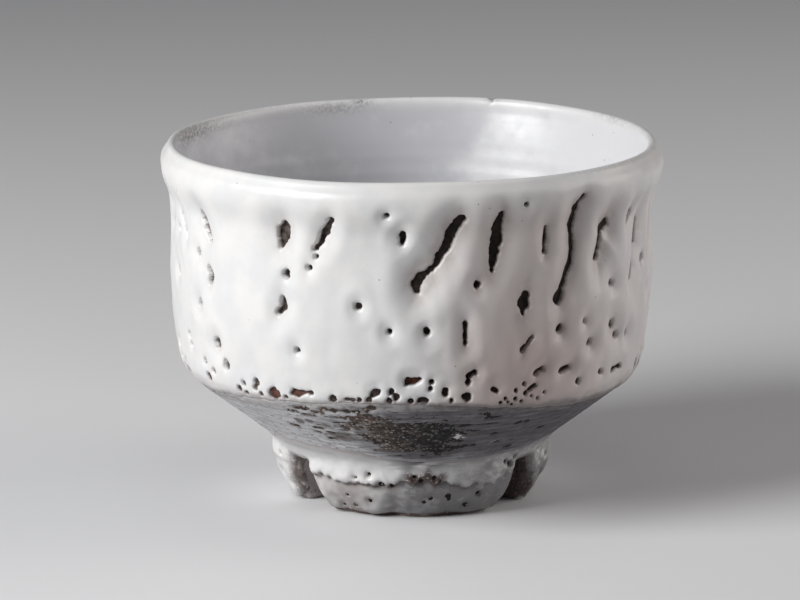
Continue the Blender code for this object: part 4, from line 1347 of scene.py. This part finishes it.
def clay_paint():
    """Dark clay: painted shade makes it near black in most holes and lighter in the lit front-left ones;
    brown and sandy where the waist is bare.
    """
    paint = Paint("dark_clay", 0.9, 0.3)
    uneven = paint.patches(1.6, 0.35, 0.68, detail=4, roughness=0.6)
    # Painted light and shade: a lit copy for front-left holes, a near-black shaded copy for the rest
    lit = paint.mix(uneven, HOLE_BROWN, HOLE_LIT)
    paint.colour = paint.mix("dark", lit, paint.mix(uneven, HOLE_DARK, HOLE_BROWN))
    brown = paint.mix(paint.patches((6, 6, 2.5), 0.36, 0.6, detail=4, roughness=0.6), CLAY_UMBER, CLAY_BROWN)
    black = paint.mix(paint.patches((5, 5, 2), 0.42, 0.66, detail=4, roughness=0.6), CLAY_BLACK, CLAY_DARK)
    crumbs = paint.patches(0.9, 0.48, 0.56, detail=4, roughness=0.7)
    crumbs = paint.times(crumbs, paint.fade("dark", 0, 1, 0.8, 1))
    paint.cover(paint.mix(crumbs, paint.mix("dark", brown, black), HOLE_DARK), "bare")
    paint.cover(RUST, "rust", paint.patches(0.8, 0.4, 0.58, detail=4, roughness=0.7))
    amount = paint.times("bare", paint.fade("dark", 0, 1, 1, 0.4))
    coarse = paint.sand(1.9, 0.42, COARSE_SAND, amount)
    fine = paint.sand(1, 0.42, SAND, amount)
    paint.roughness = paint.patches(1, 0.3, 0.7, 0.78, 0.96)
    paint.bump(paint.noise(0.7, 5, 0.7), 0.25, 0.8)
    paint.bump(paint.plus(coarse, fine), 0.14, 0.8)
    return paint


def foot_clay_paint():
    """Pinkish brown clay with smears of glaze, and painted shade in its pinholes and notches."""
    paint = Paint("foot_clay", 0.85, 0.3)
    paint.colour = paint.mix(paint.patches(4, 0.34, 0.64, detail=5, roughness=0.65), CLAY_BROWN, FOOT_CLAY)
    smear = paint.plus(paint.noise(3.6, 4), paint.times("smear", 0.3))
    paint.cover(GLAZE_SMEAR, paint.fade(smear, 0.58, 0.8, 0, 0.9))
    # Painted shade in the pinholes
    paint.cover(HOLE_DARK, "pit")
    sand = paint.sand(0.8, 0.3, SAND)
    paint.cover(CLAY_DARK, paint.patches(1.5, 0.58, 0.72, 0, 0.7, 4))
    # Painted shade in the right notch and painted shadow low on the left notch
    paint.cover(SOOT, "soot", paint.patches(2.4, 0.3, 0.55, 0.55, 0.95, 4))
    paint.roughness = paint.patches(1, 0.3, 0.7, 0.7, 0.95)
    paint.bump(paint.noise(0.8, 5, 0.7), 0.25, 0.8)
    paint.bump(sand, 0.12, 0.7)
    return paint


def wash_paint():
    """Thin grey wash, scored round and round by the trimming tool. Its paleness by side is partly painted
    light and shade.
    """
    paint = Paint("grey_wash", 0.6, 0.4)
    # Partly the wash's own grey, partly painted light on the left and painted shade on the right
    pale = paint.fade("pale", 0.1, 1)
    paint.colour = paint.mix(pale, WASH_DARK, WASH_PALE)
    low = paint.plus("low", paint.times(paint.noise((4, 4, 1.5), 4), 0.5))
    # Painted light and shade: the wash's top takes the lit or shaded copy of the glaze's low edge by side
    paint.cover(paint.mix("dim", LOW_PALE, LOW_GLAZE), paint.fade(low, 0.45, 1.1))
    lines = paint.noise((16, 16, 0.8), 4, 0.65)
    paint.cover(WASH_SCORE, paint.fade(lines, 0.36, 0.56, 0.62, 0), paint.fade(pale, 0.6, 1, 1, 0.5))
    mottle = paint.patches((2.6, 2.6, 1.3), 0.42, 0.62, detail=4, roughness=0.6)
    paint.cover(WASH_MOTTLE, mottle, paint.fade(pale, 0.2, 0.9, 0.5, 0.1))
    speck = paint.patches((1.5, 1.5, 0.7), 0.55, 0.66, roughness=0.65)
    paint.cover(WASH_SPECK, speck, paint.fade(pale, 0.3, 0.9, 0.1, 0.5))
    paint.cover(CLAY_DARK, paint.patches((4, 4, 0.9), 0.64, 0.7, 0, 0.8, 2))
    paint.cover(WASH_CHALK, paint.patches((7, 7, 0.45), 0.58, 0.68), paint.fade(pale, 0.1, 0.7, 0.15, 0.8))
    paint.cover(WASH_THIN, paint.fade("thick", 0, 1.1, 1, 0), 0.7)
    stain = paint.plus("stain", paint.times(paint.noise((1.8, 1.8, 0.9), 4, 0.65), 1.3))
    paint.cover(WASH_STAIN, paint.fade(stain, 0.92, 1.35, 0, 0.85))
    # Raised white flecks, painted white as highlights, with their own bump below
    fleck = paint.plus("fleck", paint.times(paint.noise((2.4, 2.4, 0.6), 2), 1.6))
    fleck = paint.fade(fleck, 1.25, 1.55)
    paint.cover(WASH_FLECK, fleck)
    distance, number = paint.grains(1.5)
    paint.cover(CLAY_DARK, paint.fade(distance, 0.1, 0.22, 1, 0), paint.fade(number, 0.8, 0.86), 0.8)
    paint.roughness = paint.patches((8, 8, 0.8), 0.3, 0.7, 0.45, 0.75)
    paint.bump(lines, 0.16, 0.6)
    paint.bump(paint.noise(0.6), 0.06, 0.5)
    paint.bump(fleck, 0.5, 0.9)
    return paint


build_outer_glaze(glaze_paint("white_glaze", WHITE, COOL_WHITE).finish())
build_inner_glaze(glaze_paint("inner_white_glaze", WHITE, COOL_WHITE).finish())
build_clay(clay_paint().finish())
build_wash(wash_paint().finish())
build_foot_ring(foot_clay_paint().finish())
for lobe in LOBES:
    build_foot_coat(*lobe, foot_glaze_paint("foot_glaze_" + lobe[0] + "_white").finish())


# Stage, in metres
FLOOR_REACH = 4
FLOOR_LIT = (0.46, 0.46, 0.47)
FLOOR_SEEN = (0.78, 0.78, 0.79)
SKY = (0.93, 0.96, 1, 1)
SKY_STRENGTH = 0.09
TARGET = Vector((0, 0, 0.05))
LAMPS = (
    ("key", (-0.832, -0.502, 0.566), 0.65, 13.3, (1, 1, 1)),
    ("side", (1.028, 0.108, 0.426), 0.9, 5.8, (1, 0.955, 0.935)),
)
CAMERA_PLACE = (-0.00292, -1, 0.2726)
CAMERA_DROP = 12.62
CAMERA_LENS = 183.6


def add_floor():
    """A floor that sends less light back to the bowl than the camera sees of it."""
    mesh = bpy.data.meshes.new("floor")
    corners = [(x * FLOOR_REACH, y * FLOOR_REACH, 0) for x, y in ((-1, -1), (1, -1), (1, 1), (-1, 1))]
    mesh.from_pydata(corners, [], [(0, 1, 2, 3)])
    paint = Paint("floor", 0.8, 0.2)
    rays = paint.add("LightPath", {})
    seen = paint.plus(paint.plus(rays["Is Camera Ray"], rays["Is Glossy Ray"]), rays["Is Transmission Ray"])
    paint.set(paint.shader, {"Base Color": paint.mix(seen, FLOOR_LIT, FLOOR_SEEN)})
    mesh.materials.append(paint.material)
    floor = add_object("floor", mesh)


def add_lamp(name, place, size, power, colour):
    light = bpy.data.lights.new(name, "AREA")
    light.shape = "DISK"
    light.size = size
    light.energy = power
    light.color = colour
    lamp = add_object(name, light)
    lamp.location = place
    lamp.rotation_euler = (TARGET - Vector(place)).to_track_quat("-Z", "Y").to_euler()


def add_world():
    world = bpy.data.worlds.new("studio")
    world.use_nodes = True
    background = world.node_tree.nodes["Background"]
    background.inputs["Color"].default_value = SKY
    background.inputs["Strength"].default_value = SKY_STRENGTH
    bpy.context.scene.world = world


def add_camera():
    lens = bpy.data.cameras.new("camera")
    lens.sensor_width = 36
    lens.lens = CAMERA_LENS
    lens.clip_start = 0.05
    camera = add_object("camera", lens)
    camera.location = CAMERA_PLACE
    camera.rotation_euler = (radians(90 - CAMERA_DROP), 0, 0)
    bpy.context.scene.camera = camera


add_floor()
add_world()
for lamp in LAMPS:
    add_lamp(*lamp)
add_camera()
bpy.context.scene.view_settings.view_transform = "Standard"
